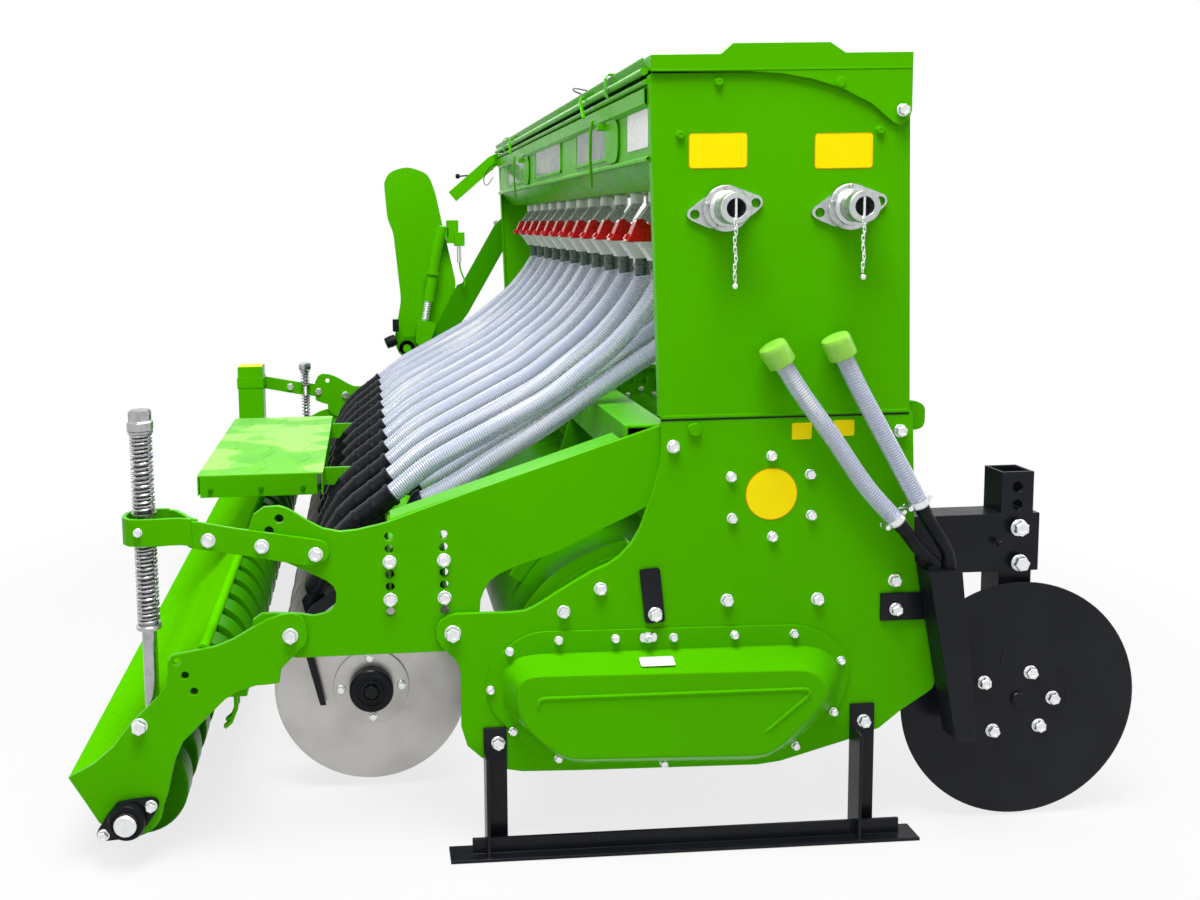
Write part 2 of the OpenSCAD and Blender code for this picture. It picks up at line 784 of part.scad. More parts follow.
module foot_board() {
    color("limegreen") {
        difference() {
            block([board[0][0], board[0][1], board_z - board_lip],
                [board[1][0], board[1][1], board_z]);
            block([board[0][0] + 3, board[0][1] + 3, board_z - board_lip - 1],
                [board[1][0] - 3, board[1][1] - 3, board_z - 3]);
        }
        for (y = [-300, 300])
            block([board[1][0], y - 5, board_z - board_lip], [opener_x, y + 5, board_z - 6]);
    }
}

link_t = 8;
rod_y = side_in - 18;
rod_x = -838;
left_rod_x = -672;

// At the right a flat link, bent round the tension rod; at the left a link that ends in a post.
module links() {
    color("limegreen") difference() {
        union() {
            plate(side_in + link_t, side_in) polygon([
                [-867, 583], [-867, 639], [-809, 639], [-802, 622], [-685, 612], [-519, 581],
                [-514, 570], [-516, 558], [-529, 546], [-551, 538], [-687, 564], [-800, 583]]);
            plate(side_in, side_in - 36) polygon([[-867, 588], [-867, 639], [-861, 639], [-861, 588]]);
            plate(side_in - 36, side_in - 36 - link_t) polygon([
                [-867, 588], [-867, 639], [-809, 639], [-809, 588]]);
            block([-866, -rod_y - 16, 596], [rod_x + 22, -rod_y + 16, 634]);
        }
        translate([rod_x, -rod_y, 560]) cylinder(r = 10, h = 120);
    }
    color("limegreen") mirror([0, 1, 0]) {
        plate(side_in + link_t, side_in) polygon([
            [-905, 540], [-905, 588], [-824, 583], [-695, 557], [-501, 529], [-492, 506],
            [-502, 484], [-699, 512], [-826, 538]]);
        block([-911, -side_in, 420], [-821, -side_in + 6, 630]);
        block([-911, -side_in, 420], [-905, -side_in + 90, 630]);
        block([-827, -side_in, 546], [-821, -side_in + 90, 630]);
        block([-880, -side_in, 245], [-850, -side_in + 6, 421]);
    }
}

// Rods with their springs, from the links down to the roller arms.
module tension_rods() {
    color("silver") {
        translate([rod_x, -rod_y, 270]) cylinder(r = 9, h = 552);
        translate([rod_x, -rod_y, 785]) cylinder(r = 24, h = 37, $fn = 4);
        translate([rod_x, -rod_y, 634]) cylinder(r = 17, h = 151);
        translate([rod_x, -rod_y, 433]) cylinder(r = 17, h = 163);
        bar_y([rod_x, 276], -side_in, -rod_y, 9);
        // the left one stands nearer the arm
        translate([left_rod_x, rod_y, 350]) cylinder(r = 8, h = 286);
        translate([left_rod_x, rod_y, 604]) cylinder(r = 26, h = 31, $fn = 4);
        translate([left_rod_x, rod_y, 385]) cylinder(r = 16, h = 215);
        bar_y([left_rod_x, 362], rod_y, side_in, 8);
    }
}

// ---------- ground wheel arm (left side) ----------

module wheel_bracket() {
    color("green") mirror([0, 1, 0]) difference() {
        plate(half_w + 8, half_w) polygon([
            [74, 1155], [74, 1030], [-60, 800], [-180, 640], [-292, 630], [-330, 672], [-300, 716],
            [-210, 720], [-178, 760], [-100, 905], [-81, 912], [40, 1120]]);
        bar_y(wheel_arm_ax, -half_w - 9, -half_w + 1, 14 + run_gap);
    }
}

wheel_arm_y0 = half_w + 14;

module wheel_arm() {
    color("limegreen") mirror([0, 1, 0]) {
        bar_y(wheel_arm_ax, -wheel_arm_y0 - 30, -half_w - 1, 14);
        plate(wheel_arm_y0 + 5, wheel_arm_y0) polygon([
            [-363, 1293], [-356, 1312], [-341, 1328], [-317, 1340], [-278, 1345], [-236, 1339],
            [-212, 1323], [-192, 1299], [-172, 1236], [-155, 1149], [-130, 1037], [-102, 903],
            [-150, 750], [-215, 660], [-265, 640], [-318, 640], [-340, 700], [-310, 853],
            [-334, 1107], [-354, 1150], [-363, 1269]]);
    }
}

// ---------- nodes ----------

side_plates();
cross_beams();
rotor_hood();
gearbox();
drive_tube();
drive_covers();
hitch();
pto_shaft();
rotor();
stands();
arm_plates();
opener_beam();
shanks();
seed_spouts();
scrapers();
boot_tubes();
seed_hoses();
hose_cuffs();
outlet_funnels();
outlet_shutters();
outlet_necks();
box_ends();
hopper();
hopper_divider();
sight_windows();
lid();
shaft_flanges();
hose_elbows();
side_boots();
side_disc_mounts();
side_disc_right();
side_disc_left();
roller();
roller_arms();
roller_bearings();
roller_guard();
foot_board();
links();
tension_rods();
wheel_bracket();
wheel_arm();
for (i = [1 : rows])
    opener_disc(row_y[i - 1]);
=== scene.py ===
import json
import math

import bmesh
import bpy
from mathutils import Matrix, Vector
from mathutils.kdtree import KDTree

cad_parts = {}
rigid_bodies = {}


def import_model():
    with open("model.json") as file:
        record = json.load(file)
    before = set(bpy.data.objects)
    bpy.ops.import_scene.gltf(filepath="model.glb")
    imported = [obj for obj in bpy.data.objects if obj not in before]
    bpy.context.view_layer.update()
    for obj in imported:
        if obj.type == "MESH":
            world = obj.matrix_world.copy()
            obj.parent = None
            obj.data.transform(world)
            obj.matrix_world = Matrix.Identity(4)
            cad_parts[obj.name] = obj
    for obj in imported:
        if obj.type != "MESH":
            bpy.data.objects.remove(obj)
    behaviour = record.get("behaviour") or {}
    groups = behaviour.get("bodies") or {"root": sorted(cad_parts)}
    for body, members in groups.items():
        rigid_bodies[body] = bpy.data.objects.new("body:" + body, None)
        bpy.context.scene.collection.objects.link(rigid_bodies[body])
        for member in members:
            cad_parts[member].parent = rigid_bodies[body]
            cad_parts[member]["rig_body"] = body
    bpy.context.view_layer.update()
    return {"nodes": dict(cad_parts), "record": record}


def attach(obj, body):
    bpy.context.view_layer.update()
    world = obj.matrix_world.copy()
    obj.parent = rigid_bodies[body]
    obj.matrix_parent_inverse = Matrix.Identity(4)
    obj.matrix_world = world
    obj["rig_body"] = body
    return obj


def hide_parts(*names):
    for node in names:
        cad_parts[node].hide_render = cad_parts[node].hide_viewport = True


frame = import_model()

MM = 0.001
LEFT, RIGHT, FRONT, UP = (0, 1, 0), (0, -1, 0), (1, 0, 0), (0, 0, 1)
SLOTS = {part["node"]: part["material_slot"] for part in frame["record"]["subparts"]}


def in_scene(name, data):
    """A new object in the scene."""
    made = bpy.data.objects.new(name, data)
    bpy.context.scene.collection.objects.link(made)
    return made


# ---------- camera, light and floor ----------

def set_camera():
    """Eye at the right rear, standing height, looking across the machine."""
    eye = Vector((-0.434, -2.991, 1.138))
    yaw, pitch, roll = (math.radians(a) for a in (3.13, 5.72, -1.118))
    ahead = Vector((math.sin(yaw)*math.cos(pitch), math.cos(yaw)*math.cos(pitch), -math.sin(pitch)))
    side = ahead.cross(Vector(UP)).normalized()
    top = side.cross(ahead)
    right = side*math.cos(roll) + top*math.sin(roll)
    up = top*math.cos(roll) - side*math.sin(roll)
    camera = bpy.data.cameras.new("camera")
    camera.lens, camera.sensor_width, camera.clip_start = 33.02, 36, 0.05
    (wide, high), (axis_x, axis_y) = (1200, 900), (428.5, 332.8)
    camera.shift_x, camera.shift_y = (wide/2 - axis_x)/wide, -(high/2 - axis_y)/wide
    holder = in_scene("camera", camera)
    holder.matrix_world = Matrix.Translation(eye) @ Matrix((right, up, -ahead)).transposed().to_4x4()
    bpy.context.scene.camera = holder


# Each lamp: its name, place, the point it looks at, its side and its power in watts.
LAMPS = [("key", (-1.8, -3.4, 3.4), (0.0, -0.6, 0.6), 2.2, 17), ("top", (-0.4, -1.9, 4.3), (-0.1, -0.4, 0.5), 2.0, 215),
         ("rear", (-3.6, 0.8, 2.6), (-0.4, 0, 0.6), 2.4, 24), ("front", (3.6, -1.2, 2.6), (0.3, 0, 0.8), 2.4, 30),
         ("left", (0.4, 3.8, 3.0), (0, 0.6, 0.6), 2.4, 44)]


def soft_lamp(name, place, towards, size, power):
    lamp = bpy.data.lights.new(name, "AREA")
    lamp.shape, lamp.size, lamp.energy = "SQUARE", size, power
    holder = in_scene(name, lamp)
    holder.location = place
    holder.rotation_euler = (Vector(towards) - Vector(place)).to_track_quat("-Z", "Y").to_euler()


def white_for_rays(tree, lit, strength):
    """Plain white where the camera, a reflection or glass looks straight at it, else the lit shader."""
    link = tree.links.new
    path = tree.nodes.new("ShaderNodeLightPath")
    sums = path.outputs["Is Camera Ray"]
    for ray in ("Is Glossy Ray", "Is Transmission Ray"):
        add = tree.nodes.new("ShaderNodeMath")
        add.operation, add.use_clamp = "ADD", True
        link(sums, add.inputs[0])
        link(path.outputs[ray], add.inputs[1])
        sums = add.outputs[0]
    share = tree.nodes.new("ShaderNodeMath")
    share.operation = "MULTIPLY"
    if isinstance(strength, float):
        share.inputs[1].default_value = strength
    else:
        link(strength, share.inputs[1])
    link(sums, share.inputs[0])
    mix = tree.nodes.new("ShaderNodeMixShader")
    link(share.outputs[0], mix.inputs[0])
    link(lit, mix.inputs[1])
    return mix


def set_light_and_floor():
    scene = bpy.context.scene
    scene.view_settings.view_transform = "Standard"
    world = bpy.data.worlds.new("studio")
    scene.world = world
    world.use_nodes = True
    tree, link = world.node_tree, world.node_tree.links.new
    soft = tree.nodes["Background"]
    soft.inputs[0].default_value = (1, 1, 1, 1)
    soft.inputs[1].default_value = 0.32
    white = tree.nodes.new("ShaderNodeBackground")
    white.inputs[0].default_value = (1, 1, 1, 1)
    white.inputs[1].default_value = 1.0
    mix = white_for_rays(tree, soft.outputs[0], 1.0)
    link(white.outputs[0], mix.inputs[2])
    link(mix.outputs[0], tree.nodes["World Output"].inputs[0])
    for lamp in LAMPS:
        soft_lamp(*lamp)
    bpy.ops.mesh.primitive_plane_add(size=60, location=(0, 0, -0.0005))
    floor = bpy.context.object
    floor.name = "floor"
    stuff = bpy.data.materials.new("floor_white")
    stuff.use_nodes = True
    tree, link = stuff.node_tree, stuff.node_tree.links.new
    base = tree.nodes["Principled BSDF"]
    base.inputs["Base Color"].default_value = (0.62, 0.62, 0.62, 1)
    base.inputs["Roughness"].default_value = 0.9
    glow = tree.nodes.new("ShaderNodeEmission")
    glow.inputs[0].default_value = (1, 1, 1, 1)
    glow.inputs[1].default_value = 1.0
    spot = tree.nodes.new("ShaderNodeTexCoord")
    away = tree.nodes.new("ShaderNodeVectorMath")
    away.operation = "LENGTH"
    link(spot.outputs["Object"], away.inputs[0])
    fade = tree.nodes.new("ShaderNodeMapRange")
    fade.interpolation_type = "SMOOTHSTEP"
    for socket, value in (("From Min", 1.3), ("From Max", 2.1), ("To Min", 0.78), ("To Max", 1.0)):
        fade.inputs[socket].default_value = value
    link(away.outputs["Value"], fade.inputs["Value"])
    mix = white_for_rays(tree, base.outputs[0], fade.outputs[0])
    link(glow.outputs[0], mix.inputs[2])
    link(mix.outputs[0], tree.nodes["Material Output"].inputs[0])
    floor.data.materials.append(stuff)


# ---------- finishes ----------

class Finish:
    """A node-based material: one Principled shader, with patterns that sit on the piece itself."""

    def __init__(self, name, colour, rough, metal=0.0, coat=0.0, **sockets):
        self.material = bpy.data.materials.new(name)
        self.material.use_nodes = True
        self.tree = self.material.node_tree
        self.link = self.tree.links.new
        self.shader = self.tree.nodes["Principled BSDF"]
        sockets.update(Base_Color=(*colour, 1), Roughness=rough, Metallic=metal, Coat_Weight=coat, Coat_Roughness=0.06)
        for key, value in sockets.items():
            self.shader.inputs[key.replace("_", " ")].default_value = value
        self.spot = self.tree.nodes.new("ShaderNodeTexCoord").outputs["Object"]

    def node(self, kind, **settings):
        made = self.tree.nodes.new(kind)
        for key, value in settings.items():
            setattr(made, key, value)
        return made

    def noise(self, size, detail, scale=(1, 1, 1)):
        """Noise with features of about the given size in millimetres."""
        cloud = self.node("ShaderNodeTexNoise")
        cloud.inputs["Scale"].default_value = 1000/size
        cloud.inputs["Detail"].default_value = detail
        spread = self.node("ShaderNodeMapping")
        spread.inputs["Scale"].default_value = scale
        self.link(self.spot, spread.inputs[0])
        self.link(spread.outputs[0], cloud.inputs["Vector"])
        return cloud.outputs["Fac"]

    def ramp(self, value, low, high, stops):
        ramp = self.node("ShaderNodeMapRange")
        ramp.inputs["From Min"].default_value, ramp.inputs["From Max"].default_value = stops
        ramp.inputs["To Min"].default_value, ramp.inputs["To Max"].default_value = low, high
        self.link(value, ramp.inputs["Value"])
        return ramp.outputs[0]

    def tint(self, value, colour, low, high, most):
        """Mixes the colour so far with another where the value is high."""
        mix = self.node("ShaderNodeMix", data_type="RGBA")
        base = self.shader.inputs["Base Color"]
        if base.is_linked:
            self.link(base.links[0].from_socket, mix.inputs[6])
        else:
            mix.inputs[6].default_value = base.default_value
        mix.inputs[7].default_value = (*colour, 1)
        self.link(self.ramp(value, 0, most, (low, high)), mix.inputs[0])
        self.link(mix.outputs[2], base)

    def gloss(self, value, low, high):
        """Roughness between low and high with the value."""
        self.link(self.ramp(value, low, high, (0.3, 0.7)), self.shader.inputs["Roughness"])

    def bump(self, value, depth, strength):
        """Relief of the given depth in millimetres."""
        bump = self.node("ShaderNodeBump")
        bump.inputs["Distance"].default_value = depth*MM
        bump.inputs["Strength"].default_value = strength
        self.link(value, bump.inputs["Height"])
        self.link(bump.outputs[0], self.shader.inputs["Normal"])

    def height(self):
        parts = self.node("ShaderNodeSeparateXYZ")
        self.link(self.spot, parts.inputs[0])
        return parts.outputs[2]


def shade(colour, by):
    return tuple(min(1, c*by) for c in colour)


def enamel(name, colour):
    """Sprayed enamel: a clean gloss coat, slightly cloudy, its colour a little darker low down."""
    made = Finish(name, colour, 0.3, IOR=1.2, Specular_IOR_Level=0.3, Specular_Tint=(0.35, 1.0, 0.06, 1))
    made.tint(made.noise(420, 3), shade(colour, 0.9), 0.42, 0.72, 0.6)
    made.tint(made.ramp(made.height(), 1, 0, (0.0, 0.28)), shade(colour, 0.74), 0.25, 1.0, 0.3)
    made.gloss(made.noise(90, 2), 0.24, 0.32)
    return made.material


ENAMELS = {"green_paint": ("green_enamel", (0.075, 0.434, 0.0)),
           "dark_green_paint": ("deep_green_enamel", (0.036, 0.26, 0.0)),
           # Very dark green for the sheet behind the ring screen: painted shade.
           "shade_green": ("painted_shade_green_enamel", (0.006, 0.075, 0.0))}


# For each finish: its name, colour, roughness and other sockets; then its tints, each by noise of a size
# and detail, with a colour, where it starts and is full, and its share; then the same noise for its gloss.
PLAIN_FINISHES = {
    # Lighter green than the enamel, with no specular: its brighter colour is painted light from above.
    "guard_green": ("satin_painted_light_green_enamel", (0.10, 0.55, 0.0), 0.6, {"IOR": 1.1, "Specular_IOR_Level": 0.0},
                    [(14, 2, shade((0.10, 0.55, 0.0), 0.88), 0.42, 0.66, 0.5)], None),
    "black_paint": ("black_enamel", (0.007, 0.008, 0.011), 0.3, {"IOR": 1.25},
                    [(90, 3, (0.012, 0.014, 0.018), 0.45, 0.75, 0.6)], (30, 3, 0.26, 0.36)),
    "steel": ("bright_zinc", (0.80, 0.81, 0.82), 0.34, {"metal": 1.0},
              [(7, 2, (0.62, 0.63, 0.66), 0.42, 0.75, 0.5)], (12, 2, 0.26, 0.38)),
    "sprung": ("spring_steel", (0.44, 0.44, 0.45), 0.24, {"metal": 1.0},
               [(14, 3, (0.27, 0.27, 0.28), 0.42, 0.72, 0.6)], (9, 3, 0.16, 0.3)),
    "rolled": ("rolled_steel", (0.50, 0.485, 0.465), 0.36, {"metal": 1.0},
               [(120, 4, (0.36, 0.345, 0.32), 0.42, 0.68, 0.75), (30, 4, (0.56, 0.55, 0.54), 0.55, 0.8, 0.4)],
               (50, 4, 0.3, 0.46)),
    "black_rubber": ("black_rubber", (0.005, 0.006, 0.008), 0.3, {"IOR": 1.22},
                     [(25, 3, (0.016, 0.018, 0.023), 0.45, 0.8, 0.6)], (14, 3, 0.26, 0.4)),
    "dark_cuff": ("dark_moulded_plastic", (0.03, 0.06, 0.045), 0.3, {},
                  [(8, 4, (0.12, 0.20, 0.14), 0.5, 0.75, 0.8)], (6, 3, 0.2, 0.4)),
    "white_plastic": ("white_moulded_plastic", (0.78, 0.78, 0.77), 0.3, {},
                      [(40, 3, (0.64, 0.65, 0.64), 0.45, 0.75, 0.5)], (14, 3, 0.24, 0.4)),
    "red_plastic": ("red_moulded_plastic", (0.56, 0.004, 0.006), 0.25, {"coat": 0.3},
                    [(25, 3, (0.32, 0.001, 0.002), 0.45, 0.75, 0.6)], (12, 3, 0.2, 0.36)),
    "light_green_plastic": ("light_green_plastic", (0.27, 0.62, 0.06), 0.32, {},
                            [(16, 3, (0.16, 0.50, 0.03), 0.45, 0.75, 0.6)], (9, 3, 0.26, 0.42)),
    "window_plastic": ("clear_acrylic", (0.50, 0.60, 0.54), 0.1, {"Transmission_Weight": 0.8, "IOR": 1.15},
                       [(120, 3, (0.36, 0.46, 0.40), 0.45, 0.75, 0.6)], (90, 3, 0.04, 0.14)),
    "frosted": ("frosted_plastic", (0.50, 0.52, 0.52), 0.25, {"coat": 0.3, "Transmission_Weight": 0.25},
                [(9, 3, (0.72, 0.74, 0.74), 0.5, 0.7, 0.8)], (8, 3, 0.15, 0.35)),
    "yellow": ("yellow_plate", (1.0, 0.80, 0.0), 0.35, {"IOR": 1.2},
               [(60, 3, (0.96, 0.74, 0.0), 0.45, 0.75, 0.5)], (12, 3, 0.3, 0.45)),
    "amber": ("amber_rim", (0.70, 0.30, 0.0), 0.35, {"Specular_IOR_Level": 0.2},
              [(20, 3, (0.58, 0.24, 0.0), 0.45, 0.75, 0.5)], (12, 3, 0.3, 0.45)),
    "cast": ("cast_alloy", (0.56, 0.58, 0.58), 0.36, {"metal": 1.0},
             [(9, 4, (0.40, 0.44, 0.42), 0.42, 0.72, 0.7)], (7, 4, 0.26, 0.5)),
}


def make_finishes():
    """One material for each finish, by the finish's key."""
    made, patterns = {}, {}
    for slot, (name, colour, rough, sockets, tints, gloss) in PLAIN_FINISHES.items():
        finish = patterns[slot] = Finish(name, colour, rough, **sockets)
        for size, detail, other, low, high, most in tints:
            finish.tint(finish.noise(size, detail), other, low, high, most)
        if gloss:
            size, detail, low, high = gloss
            finish.gloss(finish.noise(size, detail), low, high)
        made[slot] = finish.material
    cast = patterns["cast"]
    cast.bump(cast.noise(1.4, 2), 0.04, 0.5)
    for slot, (name, colour) in ENAMELS.items():
        made[slot] = enamel(name, colour)
    hose = Finish("clear_ribbed_hose", (0.70, 0.73, 0.88), 0.24, coat=0.15, Transmission_Weight=0.28)
    rib = hose.node("ShaderNodeAttribute", attribute_name="groove")
    painted_reflection_band = hose.node("ShaderNodeAttribute", attribute_name="painted_reflection_band")
    # Painted reflections: darker bands along each hose.
    hose.tint(painted_reflection_band.outputs["Fac"], (0.40, 0.44, 0.62), 0.1, 1.0, 0.6)
    # Painted shade: the rings in the grooves are darker.
    hose.tint(rib.outputs["Fac"], (0.50, 0.54, 0.70), 0.2, 1.0, 0.6)
    # Painted highlights: thin pale lines along the hoses.
    hose.tint(hose.noise(7, 2, (0.03, 1, 0.03)), (0.96, 0.97, 1.0), 0.5, 0.68, 0.75)
    hose.gloss(hose.noise(80, 2), 0.2, 0.3)
    made["clear_hose"] = hose.material
    # Foot board top: a lighter green than the enamel as painted light on the top, with broad pale and darker patches as
    # painted reflections of a wavy sheet; the bump is real relief.
    tread = Finish("painted_light_tread_enamel", (0.13, 0.57, 0.01), 0.3, IOR=1.2, Specular_IOR_Level=0.2)
    tread.tint(tread.noise(190, 0, (1.0, 1.5, 1)), (0.34, 0.80, 0.12), 0.47, 0.53, 0.9)
    tread.tint(tread.noise(120, 1, (1.6, 0.7, 1)), (0.09, 0.50, 0.01), 0.56, 0.62, 0.6)
    tread.gloss(tread.noise(60, 3), 0.2, 0.34)
    tread.bump(tread.noise(120, 0, (1.0, 1.5, 1)), 2.0, 0.4)
    made["tread"] = tread.material
    return made


# ---------- ways of shaping ----------

def deselect():
    if bpy.context.object and bpy.context.object.mode != "OBJECT":
        bpy.ops.object.mode_set(mode="OBJECT")
    bpy.ops.object.select_all(action="DESELECT")


def only(piece):
    deselect()
    piece.select_set(True)
    bpy.context.view_layer.objects.active = piece


def modify(piece, kind, **settings):
    only(piece)
    step = piece.modifiers.new(kind, kind)
    for key, value in settings.items():
        setattr(step, key, value)
    bpy.ops.object.modifier_apply(modifier=step.name)


def edit_all():
    bpy.ops.object.mode_set(mode="EDIT")
    bpy.ops.mesh.select_all(action="SELECT")


def end_edit():
    """Leaves edit mode with every normal outward."""
    bpy.ops.mesh.select_all(action="SELECT")
    bpy.ops.mesh.normals_make_consistent(inside=False)
    bpy.ops.object.mode_set(mode="OBJECT")


def soften(piece, width, segments=2, angle=35):
    """Eases the sharp edges over a width in millimetres."""
    modify(piece, "BEVEL", width=width*MM, segments=segments, limit_method="ANGLE",
           angle_limit=math.radians(angle))


def cut_plate(outline, y0, y1, edge=0.8, segments=2):
    """Plate cut to an outline of [x, z], from y0 to y1, all in millimetres."""
    deselect()
    bpy.ops.mesh.primitive_circle_add(vertices=len(outline), radius=1, fill_type="NGON")
    piece = bpy.context.object
    for corner, (x, z) in zip(piece.data.vertices, outline):
        corner.co = (x*MM, y0*MM, z*MM)
    edit_all()
    bpy.ops.mesh.extrude_region_move(TRANSFORM_OT_translate={"value": (0, (y1 - y0)*MM, 0)})
    end_edit()
    if edge:
        soften(piece, edge, segments)
    return piece


def cut_plate_x(outline, x0, x1, edge=0.5):
    """Plate cut to an outline of [y, z], from x0 to x1."""
    piece = cut_plate([(-p[0], p[1]) for p in outline], x0, x1, edge, 1)
    piece.data.transform(Matrix(((0, 1, 0, 0), (-1, 0, 0, 0), (0, 0, 1, 0), (0, 0, 0, 1))))
    return piece


def on_circle(count, radius, x=0.0, z=0.0, start=0.0):
    """Points evenly round [x, z]; start is the first one's angle in radians."""
    turns = [math.tau*k/count + start for k in range(count)]
    return [(x + radius*math.cos(a), z + radius*math.sin(a)) for a in turns]


def turn_to(along):
    return Vector(UP).rotation_difference(Vector(along)).to_matrix().to_4x4()


def facing(x, y, z, along=RIGHT, twist=0.0):
    """Where a fitting stands, in millimetres, with its +Z turned along."""
    return Matrix.Translation(Vector((x, y, z))*MM) @ turn_to(along) @ Matrix.Rotation(math.radians(twist), 4, "Z")


def put(piece, at, along=UP):
    """Moves a shape made at the origin to its place, in millimetres, its +Z turned along."""
    piece.data.transform(facing(*at, along))
    return piece


def turned(steps, sides=24):
    """Round part along +Z: rings of (radius, height), from its foot to its top."""
    deselect()
    bpy.ops.mesh.primitive_circle_add(vertices=sides, radius=steps[0][0]*MM, fill_type="NGON")
    piece = bpy.context.object
    edit_all()
    (r_was, h_was), h_foot = steps[0], steps[0][1]
    for r, h in steps[1:]:
        bpy.ops.mesh.extrude_region_move(TRANSFORM_OT_translate={"value": (0, 0, (h - h_was)*MM)})
        if r != r_was:
            bpy.ops.transform.resize(value=(r/r_was, r/r_was, 1),
                                     center_override=(0, 0, (h - h_foot)*MM))
        r_was, h_was = r, h
    end_edit()
    piece.data.transform(Matrix.Translation((0, 0, h_foot*MM)))
    return piece


def spun(steps, sides, at, along=UP):
    """A round part in its place."""
    return put(turned(steps, sides), at, along)


def bar(a, b, edge=1.0):
    """Block between two corners, in millimetres, with eased edges."""
    deselect()
    low = Vector([min(p, q) for p, q in zip(a, b)])*MM
    high = Vector([max(p, q) for p, q in zip(a, b)])*MM
    bpy.ops.mesh.primitive_cube_add(size=1, location=(low + high)/2, scale=high - low)
    bpy.ops.object.transform_apply(location=True, rotation=True, scale=True)
    piece = bpy.context.object
    soften(piece, edge)
    return piece


def smooth_route(points, spacing):
    """Evenly spaced points on the curve that runs smoothly through the given ones."""
    points = [Vector(p) for p in points]
    ends = [2*points[0] - points[1]] + points + [2*points[-1] - points[-2]]
    fine = []
    for a, b, c, d in zip(ends, ends[1:], ends[2:], ends[3:]):
        for t in (k/24 for k in range(24)):
            fine.append(0.5*(2*b + (c - a)*t + (2*a - 5*b + 4*c - d)*t*t + (3*b - a - 3*c + d)*t**3))
    fine.append(points[-1])
    whole = sum((q - p).length for p, q in zip(fine, fine[1:]))
    count = max(2, round(whole/spacing))
    even, gone, k = [fine[0]], 0.0, 0
    for i in range(1, count):
        want = whole*i/count
        while gone + (fine[k + 1] - fine[k]).length < want:
            gone += (fine[k + 1] - fine[k]).length
            k += 1
        step = (fine[k + 1] - fine[k])
        even.append(fine[k] + step*((want - gone)/step.length))
    return even + [fine[-1]]


def along_route(points, radius, sides=12):
    """Tube along points in millimetres; radius is a number or one value for each point."""
    line = bpy.data.curves.new("route", "CURVE")
    line.dimensions, line.bevel_depth, line.use_fill_caps = "3D", MM, True
    line.bevel_resolution = max(0, sides//2 - 2)
    line.bevel_mode = "ROUND"
    line.twist_mode = "MINIMUM"
    spline = line.splines.new("POLY")
    spline.points.add(len(points) - 1)
    for i, (spot, p) in enumerate(zip(spline.points, points)):
        spot.co = (*(Vector(p)*MM), 1)
        spot.radius = radius if isinstance(radius, (int, float)) else radius[i]
    only(in_scene("route", line))
    bpy.ops.object.convert(target="MESH")
    piece = bpy.context.object
    edit_all()
    bpy.ops.mesh.remove_doubles(threshold=0.00001)
    end_edit()
    return piece


def rod_across(x, z, half, radius, sides):
    """Round rod across the machine."""
    return along_route([(x, y, z) for y in (-half, 0, half)], radius, sides)


def twin(shape, place):
    """A copy with its own mesh, moved by a matrix."""
    made = shape.copy()
    made.data = shape.data.copy()
    made.data.transform(place)
    bpy.context.scene.collection.objects.link(made)
    return made


def copies(master, places):
    """Copies of a shape made at the origin, one for each matrix or [x, y, z]; the first shape goes."""
    made = [twin(master, place if isinstance(place, Matrix) else Matrix.Translation(Vector(place)*MM))
            for place in places]
    bpy.data.objects.remove(master)
    return made


def joined(shapes):
    deselect()
    for shape in shapes:
        shape.select_set(True)
    bpy.context.view_layer.objects.active = shapes[0]
    if len(shapes) > 1:
        bpy.ops.object.join()
    return bpy.context.object


def both(shapes):
    """The shapes and the same at the machine's other side."""
    twins = [twin(shape, Matrix.Scale(-1, 4, LEFT)) for shape in shapes]
    for made in twins:
        made.data.flip_normals()
    return shapes + twins


def drilled(piece, drill):
    """Takes the drill's shape out of the piece; the drill goes."""
    only(piece)
    cut = piece.modifiers.new("hole", "BOOLEAN")
    cut.object, cut.operation, cut.solver = drill, "DIFFERENCE", "EXACT"
    bpy.ops.object.modifier_apply(modifier=cut.name)
    bpy.data.objects.remove(drill)


def keep(name, shapes, slot, replaces=(), finish=None, angle=35, body="frame"):
    """Joins shapes to one piece, gives it a finish (its slot's if none is named), and lets it ride."""
    piece = joined(shapes if isinstance(shapes, list) else [shapes])
    piece.name = piece.data.name = name
    piece.data.materials.clear()
    piece.data.materials.append(finishes[finish or slot])
    only(piece)
    bpy.ops.object.shade_smooth_by_angle(angle=math.radians(angle))
    modify(piece, "WEIGHTED_NORMAL", keep_sharp=True, weight=80)
    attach(piece, body)
    if replaces:
        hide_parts(*replaces)
    return piece


def eased(outline, reach, steps=4):
    """The outline with each corner drawn as a curve that starts up to reach before it."""
    out = []
    for i, p in enumerate(outline):
        p, a, b = Vector(p), Vector(outline[i - 1]), Vector(outline[(i + 1) % len(outline)])
        start = p + (a - p)*min(0.48, reach/(a - p).length)
        end = p + (b - p)*min(0.48, reach/(b - p).length)
        for k in range(steps + 1):
            t = k/steps
            out.append(tuple(start*(1 - t)**2 + p*2*t*(1 - t) + end*t*t))
    return out


def lofted(rings, edge=0.0):
    """Closed form through rings of [x, y, z], each with the same number of points."""
    deselect()
    bpy.ops.mesh.primitive_circle_add(vertices=len(rings[0]), radius=1, fill_type="NGON")
    piece = bpy.context.object
    for corner, p in zip(piece.data.vertices, rings[0]):
        corner.co = Vector(p)*MM
    edit_all()
    for was, now in zip(rings, rings[1:]):
        bpy.ops.mesh.extrude_region_move(TRANSFORM_OT_translate={"value": (0, 0, 0)})
        finder = KDTree(len(was))
        for i, p in enumerate(was):
            finder.insert(Vector(p)*MM, i)
        finder.balance()
        mesh = bmesh.from_edit_mesh(piece.data)
        for corner in mesh.verts:
            if corner.select:
                corner.co = Vector(now[finder.find(corner.co)[1]])*MM
        bmesh.update_edit_mesh(piece.data)
    end_edit()
    if edge:
        soften(piece, edge)
    return piece


